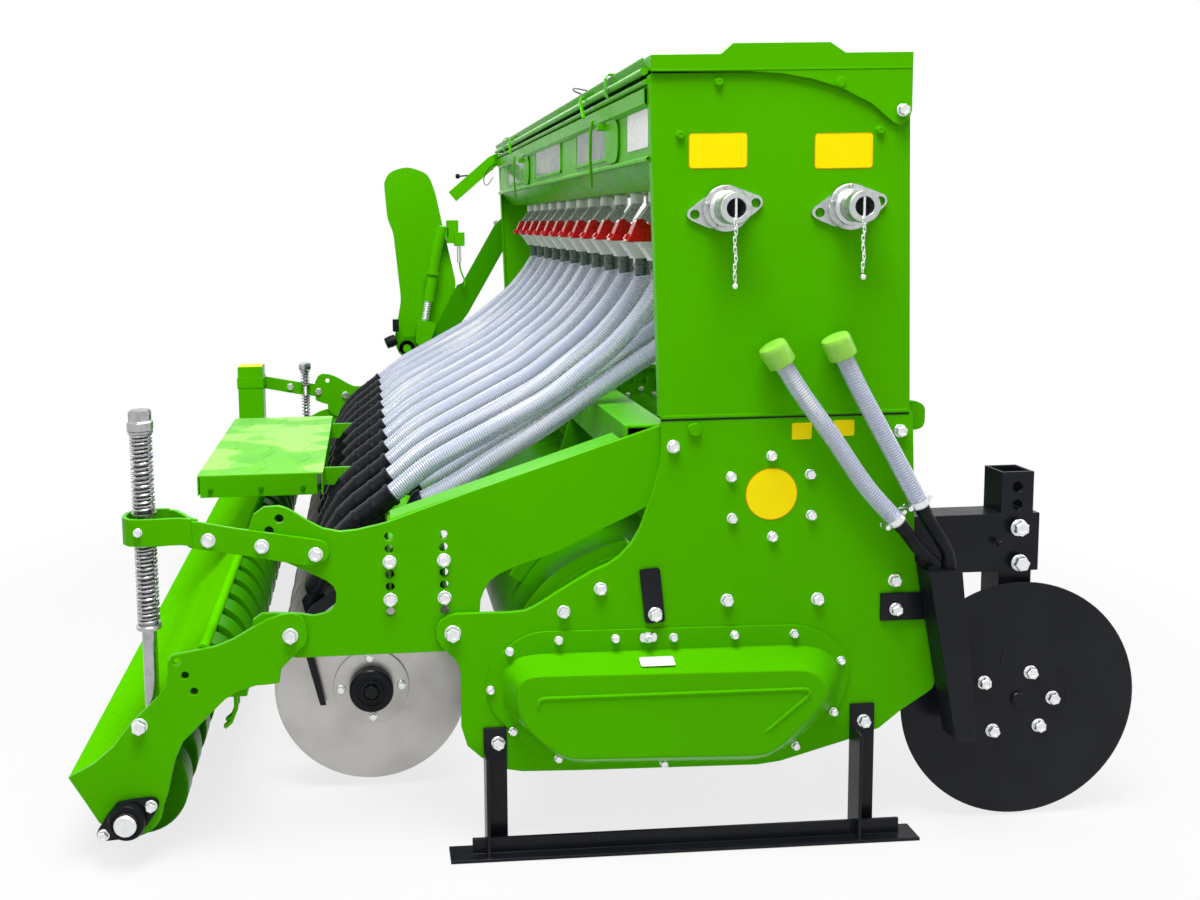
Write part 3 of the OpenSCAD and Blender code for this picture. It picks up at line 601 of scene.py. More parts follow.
def flat_bar(points, across, width, thick, edge=0.6):
    """Flat strip bent along points, its width lying across."""
    points, across = [Vector(p) for p in points], Vector(across).normalized()
    rings = []
    for i, p in enumerate(points):
        run = points[min(i + 1, len(points) - 1)] - points[max(i - 1, 0)]
        n, w = run.cross(across).normalized()*thick/2, across*width/2
        rings.append([p + w + n, p - w + n, p - w - n, p + w - n])
    return lofted(rings, edge)


def coil(x, y, z0, z1, radius, wire, turns):
    """Spring standing on z0, its end turns closed."""
    points, steps = [], turns*12
    for t in (k/steps for k in range(steps + 1)):
        a = math.tau*turns*t
        rise = wire + (z1 - z0 - 2*wire)*(t - math.sin(math.tau*t)*0.02)
        points.append((x + radius*math.cos(a), y + radius*math.sin(a), z0 + rise))
    return along_route(points, wire, 8)


def threaded(radius, z0, z1, pitch):
    """Screwed rod along +Z."""
    steps, z = [(radius*0.86, z0)], z0 + 1
    while z < z1 - 1:
        steps += [(radius, z), (radius*0.88, z + pitch/2)]
        z += pitch
    return turned(steps + [(radius*0.86, z1)], 16)


def eased_copy(node, width):
    """The frame's own part with its sharp edges eased, standing for it in the same place."""
    cad = frame["nodes"][node]
    piece = in_scene(node + "_finished", cad.data.copy())
    only(piece)
    edit_all()
    bpy.ops.mesh.remove_doubles(threshold=0.00002)
    bpy.ops.mesh.dissolve_limited(angle_limit=math.radians(0.4))
    bpy.ops.object.mode_set(mode="OBJECT")
    modify(piece, "BEVEL", width=width*MM, segments=2, limit_method="ANGLE",
           angle_limit=math.radians(38), use_clamp_overlap=False)
    keep(node + "_finished", piece, SLOTS[node], [node], body=cad["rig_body"])


# ---------- sizes shared with the frame ----------

HALF_W = 1090
ROWS = [-825 + 150*i for i in range(12)]
BANKS = [140, 250]
SIDE_Y = HALF_W + 34
# Axes of the roller, the opener discs and the rotor, as (x, z), and the height of the gearbox's shafts.
ROLLER = (-884, 90)
OPENER = (-446, 211)
ROTOR = (55, 300)
SHAFT_Z = 639
OUTLET_TOP = 1192
FOOT_Y = 389      # half of the foot board's width
GROOVE = 0.94     # a hose's radius in its grooves, as a share of its ribs' radius
RIB_PITCH = 5
REAR_HOSE = [[152, 1018], [152, 1010], [143, 994], [122, 962], [88, 920], [45, 877], [-12, 832],
             [-79, 784], [-189, 725], [-313, 659], [-393, 599]]
FRONT_HOSE = [[262, 1018], [262, 1010], [254, 988], [234, 952], [194, 912], [142, 876], [22, 799],
              [-80, 730], [-194, 662], [-269, 615], [-333, 583]]
REAR_BOOT = [[-393, 599], [-433, 569], [-462, 548], [-493, 520], [-518, 484], [-536, 446],
             [-552, 420], [-553, 412], [-553, 402]]
FRONT_BOOT = [[-333, 583], [-339, 580], [-344, 573], [-347, 565], [-347, 560]]
SIDE_HOSES = [[[282, 887], [319, 829], [379, 745], [438, 659], [498, 591]],
              [[391, 897], [422, 835], [457, 771], [492, 707], [540, 619]]]
SIDE_PIPES = [[[498, 591], [513, 574], [534, 546], [556, 524], [566, 514], [566, 504]],
              [[540, 619], [552, 597], [574, 563], [590, 534], [594, 516], [594, 504]]]


def in_row(path, y):
    return [(x, y, z) for x, z in path]


# ---------- hoses ----------

def ribbed_hose(path, y, radius, sides):
    """Hose with turned ribs: every second ring lies in a groove, and its groove attribute says so; a second attribute
    holds bands along the hose for painted reflections.
    """
    spots = smooth_route(in_row(path, y), RIB_PITCH/2)
    radii = [radius if i % 2 else radius*GROOVE for i in range(len(spots))]
    hose = along_route(spots, radii, sides)
    groove = hose.data.attributes.new("groove", "FLOAT", "POINT")
    painted_reflection_band = hose.data.attributes.new("painted_reflection_band", "FLOAT", "POINT")
    middle = (1 + GROOVE)/2*radius*MM
    spots = [Vector(p)*MM for p in spots]
    per_ring = max(1, len(hose.data.vertices)//len(spots))
    for i, v in enumerate(hose.data.vertices):
        k = min(len(spots) - 1, i//per_ring)
        near = min(spots[max(0, k - 2):k + 3], key=lambda p: (p - v.co).length)
        groove.data[i].value = 1.0 if (near - v.co).length < middle else 0.0
        # Painted reflection bands: a wave across each hose's width, drifting slowly along it.
        side = (v.co.y - near.y)/(radius*MM)
        wander = 0.7*math.sin(k*0.02)
        painted_reflection_band.data[i].value = 0.5 + 0.5*math.sin(side*7.5 + 0.5 + wander)
    return hose


def make_hoses():
    for name, path in (("rear_row_hoses", REAR_HOSE), ("front_row_hoses", FRONT_HOSE)):
        hose = ribbed_hose(path, 0, 20.4, 12)
        keep(name, copies(hose, [(0, y, 0) for y in ROWS]), "clear_hose", ["seed_hoses"])
    for side, name in ((-1, "side_hoses_right"), (1, "side_hoses_left")):
        keep(name, [ribbed_hose(p, side*SIDE_Y, 16, 18) for p in SIDE_HOSES], "clear_hose", ["seed_hoses"])


def make_boots():
    """Black rubber tubes below the hoses: a beaded mouth and shallow ribs."""
    step, mouth, wall, rib = 4, 24.5, 22.0, 1.4
    mouth_long, ribs_from, rib_gap, rib_long = 8, 30, 44, 6
    for name, path in (("rear_boots", REAR_BOOT), ("front_boots", FRONT_BOOT)):
        spots = smooth_route(in_row(path, 0), step)
        radii = []
        for along in range(0, len(spots)*step, step):
            ribbed = along > ribs_from and along % rib_gap < rib_long
            radii.append((wall if along > mouth_long else mouth) + (rib if ribbed else 0))
        radii[-2:] = [20, 19]
        keep(name, copies(along_route(spots, radii, 20), [(0, y, 0) for y in ROWS]),
             "black_rubber", ["boot_tubes"], angle=60)
    pipes = []
    for p in SIDE_PIPES:
        spots = smooth_route(in_row(p, -SIDE_Y), 5)
        pipes.append(along_route(spots, [12 if 3 < i < len(spots) - 3 else 13 for i in range(len(spots))], 20))
    keep("side_pipes", both(pipes), "black_rubber", ["boot_tubes"], angle=60)


# ---------- metering outlets ----------

def slanted_box(x0, sx0, sy0, z0, x1, sx1, sy1, z1, edge=1.0):
    """Four-sided body that leans: middle and half sides at its foot and at its top."""
    deselect()
    bpy.ops.mesh.primitive_cube_add(size=2)
    piece = bpy.context.object
    for v in piece.data.vertices:
        x, y, z = v.co
        v.co = ((x0 + x*sx0, y*sy0, z0) if z < 0 else (x1 + x*sx1, y*sy1, z1))
        v.co *= MM
    soften(piece, edge)
    return piece


def make_outlets():
    """Neck, slide, funnel and cuff under the box, one of each for every hose."""
    top = OUTLET_TOP
    places = [(x, y, 0) for x in BANKS for y in ROWS]
    collar = turned([(11, top), (11.5, top - 3), (13.4, top - 3), (14, top - 2), (14, top - 20), (13.2, top - 22),
                     (9, top - 23)][::-1], 20)
    keep("outlet_collars", copies(collar, places), "steel", ["outlet_necks"], finish="white_plastic")
    neck = [slanted_box(-28, 13, 11, top - 62, 0, 10, 9, top - 22)]
    neck += [slanted_box(-28 + k*11, 1.4, 12.6, top - 62, k*8, 1.2, 10.4, top - 22, edge=0.4) for k in (-1, 0, 1)]
    neck.append(slanted_box(-28, 15, 12.5, top - 61, -26, 14.4, 12, top - 56, edge=0.5))
    keep("outlet_necks_clear", copies(joined(neck), places), "steel", ["outlet_necks"], finish="frosted")
    shutter = [slanted_box(-26, 33, 16, top - 100, -30, 17, 15, top - 70, edge=1.5),
               slanted_box(-30, 17, 15.5, top - 71, -34, 6, 13, top - 55, edge=1.2),
               slanted_box(-50, 12, 17, top - 98, -40, 5, 14, top - 74, edge=1.0),
               slanted_box(-62, 4, 5, top - 94, -56, 3, 4, top - 84, edge=1.0)]
    keep("outlet_slides", copies(joined(shutter), places), "red_plastic", ["outlet_shutters"])
    funnel = [slanted_box(10, 22, 19, top - 136, -14, 22, 21, top - 102, edge=1.2),
              slanted_box(-14, 23.5, 22.5, top - 104, -15, 23.5, 22.5, top - 100, edge=0.6),
              slanted_box(10, 23, 20, top - 138, 11, 23, 20, top - 133, edge=0.6)]
    keep("outlet_funnels_white", copies(joined(funnel), places), "white_plastic", ["outlet_funnels"])
    cuff = turned([(15, top - 176), (17, top - 174), (17, top - 160), (15.5, top - 158), (15.5, top - 152),
                   (17, top - 150), (17, top - 138), (15, top - 136)], 20)
    keep("hose_cuffs_ringed", copies(put(cuff, (12, 0, 0)), places), "dark_cuff", ["hose_cuffs"])


# ---------- the frame's own parts ----------

def dress_frame():
    """Each node of the frame gets the finish of its slot."""
    special = {f"disc_{i + 1}": "rolled" for i in range(len(ROWS))}
    for name, node in frame["nodes"].items():
        node.data.materials.clear()
        node.data.materials.append(finishes[special.get(name, SLOTS[name])])


# ---------- fasteners ----------

def hex_bolt(flats, washer):
    """Bolt head, by its width over the flats, on a washer of the given radius, standing along +Z."""
    ring = turned([(washer, 0), (washer, 1.6), (washer - 0.9, 2.4)], 24)
    r, top = flats*0.577, 2.4 + flats*0.48
    head = turned([(r, 2.4), (r, top - flats*0.06), (r*0.9, top), (r*0.5, top), (r*0.44, top - 0.6)], 6)
    return joined([ring, head])


def bolt_heads(name, places, flats, washer, slot="steel", mirror=False, body="frame"):
    """One piece of bolts at the places, each a matrix."""
    made = copies(hex_bolt(flats, washer), places)
    keep(name, both(made) if mirror else made, slot, angle=30, body=body)


def bolts(name, spots, flats, washer, slot="steel", mirror=True):
    """Bolts at [x, z] on the side plate, or at [x, y, z], each turned a little differently."""
    places = [facing(p[0], -HALF_W if len(p) == 2 else p[1], p[-1], twist=(37*i) % 60) for i, p in enumerate(spots)]
    bolt_heads(name, places, flats, washer, slot, mirror)


# ---------- right and left sides ----------

def rounded_plate(x0, z0, x1, z1, y0, y1, reach):
    return cut_plate(eased([[x0, z0], [x1, z0], [x1, z1], [x0, z1]], reach), y0, y1, 0.25, 1)


def make_side_bolts():
    """Bolts, tabs, straps and blank plates on the side plates and the box ends."""
    bolts("side_plate_bolts", [(102, 733), (-30, 478), (-97, 438), (515, 749), (201, 448), (368, 444), (511, 473)],
          18, 12)
    ring = [(280, 711), (351, 675), (354, 600), (283, 563), (209, 599), (207, 675)]
    bolts("bearing_ring_bolts", ring, 15, 9.5)
    bolts("ear_bolts", [(-297, 406)], 24, 15)
    lug = cut_plate(eased([[126, 770], [128, 758], [136, 752], [146, 752], [152, 760], [150, 772], [140, 776]], 5),
                    -HALF_W, -HALF_W - 9, 1.5)
    tab = cut_plate(eased([[540, 743], [568, 746], [575, 756], [575, 788], [560, 798], [540, 798]], 9),
                    -1064, -1052, 1.2)
    keep("side_plate_tabs", both([lug, tab]), "green_paint")
    strap = cut_plate(eased([[40, 511], [77, 514], [87, 414], [51, 411]], 6), -HALF_W, -HALF_W - 6, 0.8)
    keep("side_straps", both([strap]), "black_paint")
    bolts("side_strap_bolts", [(68, -HALF_W - 6, 429)], 20, 13)
    small = [(317, 739, 353, 769), (393, 743, 431, 772)]
    large, rim = [(129, 1223, 230, 1281), (352, 1219, 454, 1278)], 1.5
    middle = (281, -HALF_W, 641)
    plates = [rounded_plate(*p, -HALF_W, -HALF_W - t, reach) for group, t, reach in ((small, 0.8, 3), (large, 1, 6))
              for p in group]
    plates.append(spun([(46, 0), (46, 0.9), (45, 1.1)], 64, middle, RIGHT))
    keep("blank_plates", both(plates), "white_plastic", finish="yellow")
    rims = [spun([(47.5, 0), (47.5, 0.7), (46, 0.8)], 64, middle, RIGHT)]
    for x0, z0, x1, z1 in large:
        rims.append(rounded_plate(x0 - rim, z0 - rim, x1 + rim, z1 + rim, -HALF_W, -HALF_W - 0.6, 7))
    keep("blank_plate_rims", both(rims), "white_plastic", finish="amber")


def make_arm_fittings():
    """Bolts of the arms and links, the roller's bearings and the scraper hooks."""
    spots = [(-407, 469), (-407, 538), (-310, 469), (-310, 538)]
    bolts("arm_bolts", [(x, -1080, z) for x, z in spots], 19, 12.5)
    bolts("link_bolts", [(x, -1088, z) for x, z in [(-724, 591), (-631, 577), (-537, 559)]], 19, 13, mirror=False)
    bolts("left_link_bolts", [(-878, 1080, 564), (-729, 1080, 541), (-625, 1070, 522), (-526, 1070, 506)],
          19, 13, mirror=False)
    bolts("roller_arm_bolts", [(-586, 413)], 21, 14)
    lens = []
    for waist, ear in ((30, 210), (210, 30)):
        rim = [(36, math.radians(waist + t)) for t in (50, 90, 130)]
        for t in (70, 30, 0, -30, -70):
            out, side = 49.5 + 13*math.cos(math.radians(t)), 13*math.sin(math.radians(t))
            rim.append((math.hypot(out, side), math.radians(ear) - math.atan2(side, out)))
        lens += [(ROLLER[0] + r*math.cos(a), ROLLER[1] + r*math.sin(a)) for r, a in rim]
    flanges = both([cut_plate(lens, -HALF_W, -HALF_W - 10, 1.5)])
    keep("roller_bearing_flanges", flanges, "black_paint", ["roller_bearings"])
    bolts("roller_bearing_bolts", [(-841, -1100, 115), (-927, -1100, 65)], 16, 11)
    bolts("stand_bolts", [(-219, -1096, 201), (456, -1096, 212)], 19, 12.5)
    bolts("boot_strap_bolts", [(512, -1096, 421)], 18, 12)
    end = (ROLLER[0], -HALF_W, ROLLER[1])
    ring = spun([(34, 8), (34, 18), (31, 23), (26, 24), (25, 21), (20.5, 21), (20.5, 8)], 40, end, RIGHT)
    keep("roller_bearing_rings", both([ring]), "black_rubber")
    caps = spun([(20, 12), (20, 31), (17.5, 34)], 32, end, RIGHT)
    keep("roller_shaft_ends", both([caps]), "steel", body="roller_body")
    hooks = []
    for y in (-1058, -1030):
        hooks.append(flat_bar([(-690, y, 300), (-690, y, 270), (-700, y, 246), (-712, y, 236)], LEFT, 12, 7, 1.5))
    clamp = bar((-712, -1070, 296), (-668, -1022, 312), 2)
    keep("arm_scraper_hooks", both(hooks + [clamp]), "green_paint")


COVER_RIM = [[-242, 302], [-231, 340], [-205, 374], [-176, 394], [-147, 404], [333, 398], [375, 386], [410, 361],
             [430, 329], [429, 295], [412, 234], [370, 192], [336, 163], [285, 139], [259, 136], [-65, 141],
             [-99, 148], [-158, 182], [-197, 224], [-228, 256]]
COVER_FOOT = [[-207, 334], [-187, 353], [-158, 361], [331, 358], [374, 350], [402, 325], [411, 292], [393, 237],
              [325, 175], [264, 146], [-90, 157], [-124, 178], [-192, 246], [-209, 280]]
COVER_FACE = [[-189, 325], [-177, 339], [-160, 344], [326, 335], [344, 326], [360, 308], [366, 290], [346, 260],
              [284, 201], [257, 182], [-92, 191], [-121, 203], [-169, 245], [-186, 280]]
COVER_BOLTS = [(-107, 387), (-4, 386), (102, 384), (214, 384), (324, 382), (412, 328), (400, 231), (330, 169),
               (85, 147), (-109, 166), (-191, 221), (-231, 300), (-196, 370)]


def make_drive_cover():
    """Pressed cover of the side drive: flat rim, domed shoulder and a raised line on its face."""
    rim = cut_plate(eased(COVER_RIM, 22), -HALF_W, -HALF_W - 4, 1.0)
    foot = eased(COVER_FOOT, 30, 6)
    face = eased(COVER_FACE, 24, 6)
    section = [(-0.12, 0), (-0.05, 0.8), (-0.01, 3), (0.04, 7), (0.28, 20), (0.56, 35), (0.84, 49.4), (0.93, 53),
               (1.0, 54.6), (1.08, 55)]
    rings = [[(a[0] + (b[0] - a[0])*t, -HALF_W - 4 - h, a[1] + (b[1] - a[1])*t) for a, b in zip(foot, face)]
             for t, h in section]
    line = eased([[-153, 282], [-153, 304], [329, 301], [334, 291], [250, 222]], 12, 5)[4:-3]
    bead = along_route([(x, -HALF_W - 58.8, z) for x, z in line], [3.4]*(len(line) - 3) + [3.0, 2.2, 1.2], 12)
    cap = spun([(75, 0), (75, 34), (70, 40), (46, 40), (44, 43), (20, 43)], 48, (ROTOR[0], HALF_W, ROTOR[1]), LEFT)
    keep("drive_cover", [rim, lofted(rings), bead, cap], "green_paint", ["drive_covers"], angle=40)
    bolts("drive_cover_bolts", [(x, -HALF_W - 4, z) for x, z in COVER_BOLTS], 12, 8, mirror=False)
    bolt_heads("bearing_cap_bolts", [facing(x, 1130, z, LEFT) for x, z in on_circle(6, 58, *ROTOR, 0.3)], 13, 9)
    wing = [spun([(4, 0), (4, 16), (3.4, 17)], 16, (55, -HALF_W - 4, 386), RIGHT),
            spun([(10, 0), (10, 2)], 20, (55, -HALF_W - 4, 386), RIGHT),
            spun([(7.5, 2), (7, 7), (5, 9)], 16, (55, -HALF_W - 4, 386), RIGHT)]
    for side in (-1, 1):
        wing.append(cut_plate(eased([[55 + side*4, 380], [55 + side*13, 378], [55 + side*17, 388],
                                     [55 + side*12, 398], [55 + side*5, 392]], 5), -HALF_W - 7, -HALF_W - 10, 0.8))
    keep("cover_wing_nut", wing, "steel")
    tag = rounded_plate(-31, -11, 31, 11, 0, -0.7, 4)
    tag.data.transform(Matrix.Translation(Vector((64, -1125.8, 353.2))*MM) @ Matrix.Rotation(math.radians(-66), 4, "X"))
    keep("blank_cover_tag", tag, "white_plastic")


# ---------- seed box ----------

def make_box_trim():
    """Folds, a black strip painted as the shadow under the box end, straps and latches on the seed box and its lid."""
    folds = [flat_bar([(81, -1079, 786), (61, -1079, 1384)], LEFT, 22, 5, 2),
             flat_bar([(531, -1079, 786), (519, -1079, 1300)], LEFT, 22, 4, 1.8),
             bar((81, -1091.5, 783), (531, -1076, 789), 1.4)]
    keep("box_folds", both(folds), "green_paint")
    # Painted shadow: a thin black strip where the gap under the box end falls dark.
    shadow_strip = bar((80, -1090.8, 779), (531, -1086, 782), 0.4)
    keep("box_shadow_strips", both([shadow_strip]), "black_rubber")
    bolts("box_end_bolts", [(179, 1369), (112, 1280), (466, 1283)], 12, 9, "green_paint")
    bolt_heads("lid_pivot_bolts", [facing(500, -1103.5, 1316)], 17, 11, mirror=True)
    line = [bar((62, -1099, 1388), (517, -1097.6, 1390.5), 0.6),
            spun([(9, 0), (9, 1.6), (7.5, 2.2), (5, 2.2)], 24, (392, -1098, 1366), RIGHT)]
    roll = rod_across(52, 1391, 1080, 7, 16)
    lip = flat_bar([(57, 0, 1397), (50, 0, 1409), (50, 0, 1414)], LEFT, 2160, 2.4, 0.8)
    keep("lid_trim", both(line) + [roll, lip], "green_paint", angle=50, body="lid_body")
    straps = []
    for y in (-820, 790):
        straps.append(flat_bar([(72, y, 1419), (46, y, 1419), (41, y, 1412), (41, y, 1382), (46, y, 1374)],
                               LEFT, 16, 3, 0.8))
    for y in (-570, 610):
        straps.append(flat_bar([(56, y, 1404), (44, y, 1402), (36, y - 20, 1392), (30, y - 90, 1350)],
                               (0.2, 0.3, 0), 14, 3.5, 0.8))
    keep("lid_straps", straps, "green_paint", body="lid_body")
    wall = [flat_bar([(60, 0, 1366), (55, 0, 1362), (55, 0, 1337), (62, 0, 1331)], LEFT, 2140, 2.5, 0.8),
            rod_across(56, 1373, 1080, 5, 12),
            flat_bar([(62, 0, 1246), (57, 0, 1243), (57, 0, 1238), (62, 0, 1236)], LEFT, 2150, 2.5, 0.8)]
    for y0 in (-718, 462):
        wall.append(flat_bar([(34, y0 - 12, 1340), (32, y0, 1310), (36, y0 + 22, 1262), (44, y0 + 48, 1204)],
                             (0.1, 0.9, 0.2), 9, 6, 2))
        wall.append(bar((44, y0 - 16, 1318), (62, y0 - 2, 1332), 2))
        wall.append(cut_plate_x(eased([[y0 - 10, 1336], [y0 - 60, 1342], [y0 - 125, 1330], [y0 - 132, 1290],
                                       [y0 - 125, 1248], [y0 - 20, 1248]], 30), 61, 58))
    keep("box_wall_trim", wall, "green_paint")
    far = flat_bar([(-112, 1098, 1231), (38, 1098, 1357), (60, 1098, 1368), (76, 1096, 1368)],
                   (-0.64, 0, 0.77), 44, 5, 1.5)
    keep("far_latch_bar", far, "green_paint")
    wires = [along_route(smooth_route(wire, 8), 1.6, 6) for wire in (
        [(66, -470, 1420), (44, -480, 1428), (30, -560, 1424), (40, -640, 1410)],
        [(40, 1092, 1300), (16, 1094, 1270), (4, 1090, 1292), (22, 1084, 1330), (52, 1080, 1350)])]
    knob = spun([(7, 0), (9, 3), (9, 12), (6, 15)], 20, (-84, 1100, 1306), (-1, 0, 0))
    stem = along_route([(-84, 1100, 1306), (-30, 1100, 1310), (40, 1098, 1330)], 3, 8)
    keep("latch_wires", wires + [knob, stem], "black_rubber")
    label = cut_plate_x(eased([[-1066, 1262], [-916, 1262], [-916, 1330], [-1066, 1330]], 5), 63, 61.8)
    keep("blank_wall_label", label, "white_plastic")


WINDOWS = [(-820, -420), (-200, 200), (420, 820)]


def make_windows():
    """Framed panes in the box's rear wall, with rings and blank cards behind them."""
    frames, rings, panes = [], [], []
    for y0, y1 in WINDOWS:
        for a, b in (((y0 - 8, 1256), (y1 + 8, 1264)), ((y0 - 8, 1342), (y1 + 8, 1350)),
                     ((y0 - 8, 1256), (y0, 1350)), ((y1, 1256), (y1 + 8, 1350))):
            frames.append(bar((59.5, a[0], a[1]), (63.5, b[0], b[1]), 0.8))
        for y in (y0 + 120, y1 - 110):
            arc = [(74, y + 78*math.cos(t), 1266 + 70*math.sin(t)) for t in (math.pi*k/16 for k in range(17))]
            rings.append(along_route(arc, 5, 10))
        panes.append(bar((60.6, y0 - 3, 1258), (63, y1 + 3, 1348), 0.5))
    keep("window_frames", frames, "green_paint")
    keep("window_rings", rings, "steel", finish="frosted")
    keep("window_sheets", panes, "window_plastic", ["sight_windows"])
    notes = [cut_plate_x([(y, 1270), (y + 70, 1270), (y + 70, 1306), (y, 1306)], 68, 67, 0.2)
             for y in (-560, -10, 70, 500, 640)]
    keep("blank_window_cards", notes, "white_plastic", finish="yellow")


def make_couplings():
    """Shaft ends at the box's right side: two-hole flange, screwed hub, bored nose with its pin, and a black disc in
    the bore as painted shade.
    """
    metal, dark, pins = [], [], []
    for x, z in ((191, 1152), (413, 1151)):
        ear = cut_plate(eased([[x - 68, z - 14], [x - 56, z - 22], [x - 22, z - 36], [x + 22, z - 30], [x + 56, z - 6],
                               [x + 68, z + 6], [x + 64, z + 20], [x + 52, z + 24], [x + 22, z + 36], [x - 22, z + 30],
                               [x - 58, z + 4], [x - 68, z - 4]], 12), -HALF_W, -HALF_W - 7, 1.0)
        for s in (-1, 1):
            drilled(ear, spun([(8.5, -20), (8.5, 20)], 20, (x + 54*s, -HALF_W, z + 9*s), RIGHT))
        hub = [(41, 5), (41, 13), (39.5, 15), (33, 15.5), (32, 20), (27, 22.5), (26, 24), (25, 44), (25, 46),
               (27.5, 46), (27.5, 64), (26, 66), (17.5, 66), (16.5, 64.5), (16.5, 38)]
        metal += [ear, spun(hub, 40, (x, -HALF_W, z), RIGHT)]
        # Painted shade: a black disc at the bottom of the bore.
        dark.append(spun([(16.4, 38), (16.4, 39)], 32, (x, -HALF_W, z), RIGHT))
        for px, pz in on_circle(5, 36.6, x, z, 0.4):
            metal.append(spun([(3.6, 0), (3.6, 4), (3, 4.8), (1.8, 4.8), (1.6, 3)], 12, (px, -HALF_W - 14, pz), RIGHT))
        pins.append(along_route([(x, -HALF_W - 62, z - 24), (x, -HALF_W - 62, z + 24)], 2.6, 12))
    keep("shaft_couplings", metal, "steel", ["shaft_flanges"], finish="cast", angle=30)
    keep("coupling_bore_shade", dark, "black_rubber")
    keep("coupling_pins", pins, "steel")


def make_chains():
    """Retaining chains of the coupling pins."""
    links, pitch = [], 7.6
    for x, z, drop in ((191, 1128, 104), (413, 1127, 92)):
        deselect()
        bpy.ops.mesh.primitive_torus_add(major_segments=12, minor_segments=5, major_radius=3*MM, minor_radius=0.9*MM)
        link = bpy.context.object
        for v in link.data.vertices:
            v.co.y *= 1.45
            v.co.y += 0.0016 if v.co.y > 0 else -0.0016
        places = []
        for k in range(round(drop/pitch)):
            turn = Matrix.Rotation(math.radians(90 if k % 2 else 20), 4, "Z")
            up = Matrix.Rotation(math.radians(90), 4, "X")
            links_at = Vector((x - 2 + 1.2*math.sin(k), -HALF_W - 66, z - k*pitch))*MM
            places.append(Matrix.Translation(links_at) @ turn @ up)
        links += copies(link, places)
        links.append(spun([(1, -5.2), (4, -3.6), (5.2, 0), (4, 3.6), (1, 5.2)], 14,
                          (x - 2, -HALF_W - 66, z - drop - 4)))
    keep("pin_chains", links, "steel", angle=60)


# ---------- side hoses ----------

def make_side_fittings():
    """Caps, stubs and clips at the ends of the side hoses."""
    caps, bands, tubes = [], [], []
    for route in SIDE_HOSES:
        p, q = Vector((route[0][0], -SIDE_Y, route[0][1])), Vector((route[1][0], -SIDE_Y, route[1][1]))
        run = (q - p).normalized()
        cap = turned([(21, -8), (24.5, -6), (25, 0), (25.6, 22), (25.6, 27), (23.5, 31.5), (18, 33.5), (8, 34.3)], 36)
        caps.append(put(cap, p, -run))
        tubes.append(along_route([p - run*16 + Vector((0, t, 0)) for t in (34, 20, 4)], 11, 16))
        end, before = [Vector((s[0], -SIDE_Y, s[1])) for s in (route[-1], route[-2])]
        run = (end - before).normalized()
        band = turned([(16.6, 0), (18.4, 0.6), (18.4, 11.4), (16.6, 12)], 32)
        bands.append(put(band, end - run*15, run))
        lug = spun([(4.6, -10), (4.6, 8), (3.4, 9), (3.4, 12), (5, 12), (5, 15)], 12, (0, 0, 0), LEFT)
        lug.data.transform(Matrix.Translation((end - run*9 + run.cross(Vector(LEFT))*-21)*MM))
        bands.append(lug)
        tip = end - run*9 + run.cross(Vector(LEFT))*20
        bands.append(spun([(3.6, -8), (3.6, 9), (5.2, 9), (5.2, 12)], 12, tip, LEFT))
    keep("hose_caps", both(caps), "light_green_plastic", ["hose_elbows"], angle=40)
    keep("hose_stubs", both(tubes), "light_green_plastic", ["hose_elbows"])
    keep("hose_clips", both(bands), "steel")


# ---------- rods and links ----------

def make_tension_rods():
    """Right rod with its two springs, nuts and eye; the lighter left one."""
    x, y = -838, -1062
    parts = [threaded(14, 433, 822, 4.0), turned([(13, 256), (13, 430), (15, 433), (15, 445)], 32),
             turned([(24, 786), (24, 800), (21, 803), (21, 818), (18, 822), (8, 822), (7, 820)], 6),
             turned([(22, 634), (22, 639), (19, 640)], 32), turned([(21, 583), (21, 588)], 32),
             turned([(22, 428), (22, 434), (20, 436)], 28), turned([(20, 779), (22, 781), (22, 785)], 28)]
    parts = [put(p, (x, y, 0)) for p in parts]
    parts += [coil(x, y, 639, 781, 18.2, 2.3, 19), coil(x, y, 436, 585, 18.2, 2.3, 20)]
    eye = spun([(15, -14), (16, -12), (16, 12), (15, 14)], 28, (x - 6, y, 252), LEFT)
    keep("tension_rod_right", parts + [eye], "steel", ["tension_rods"], finish="sprung", angle=40)
    bolts("tension_rod_bolt", [(-857, -1090, 259)], 23, 14.5, mirror=False)
    x, y = -672, 1062
    parts = [threaded(9, 380, 632, 3.5), turned([(8, 350), (8.5, 352), (8.5, 384)], 20),
             turned([(22, 606), (25, 610), (25, 626), (21, 631), (8, 631)], 6),
             turned([(18, 598), (18, 603)], 24), turned([(18, 385), (18, 390)], 24)]
    parts = [put(p, (x, y, 0)) for p in parts] + [coil(x, y, 390, 516, 14, 2.6, 11), coil(x, y, 545, 600, 14, 2.6, 5)]
    eye = spun([(8, -20), (8, 18), (6, 20)], 20, (x, y, 362), LEFT)
    keep("tension_rod_left", parts + [eye], "steel", ["tension_rods"], finish="sprung", angle=40)


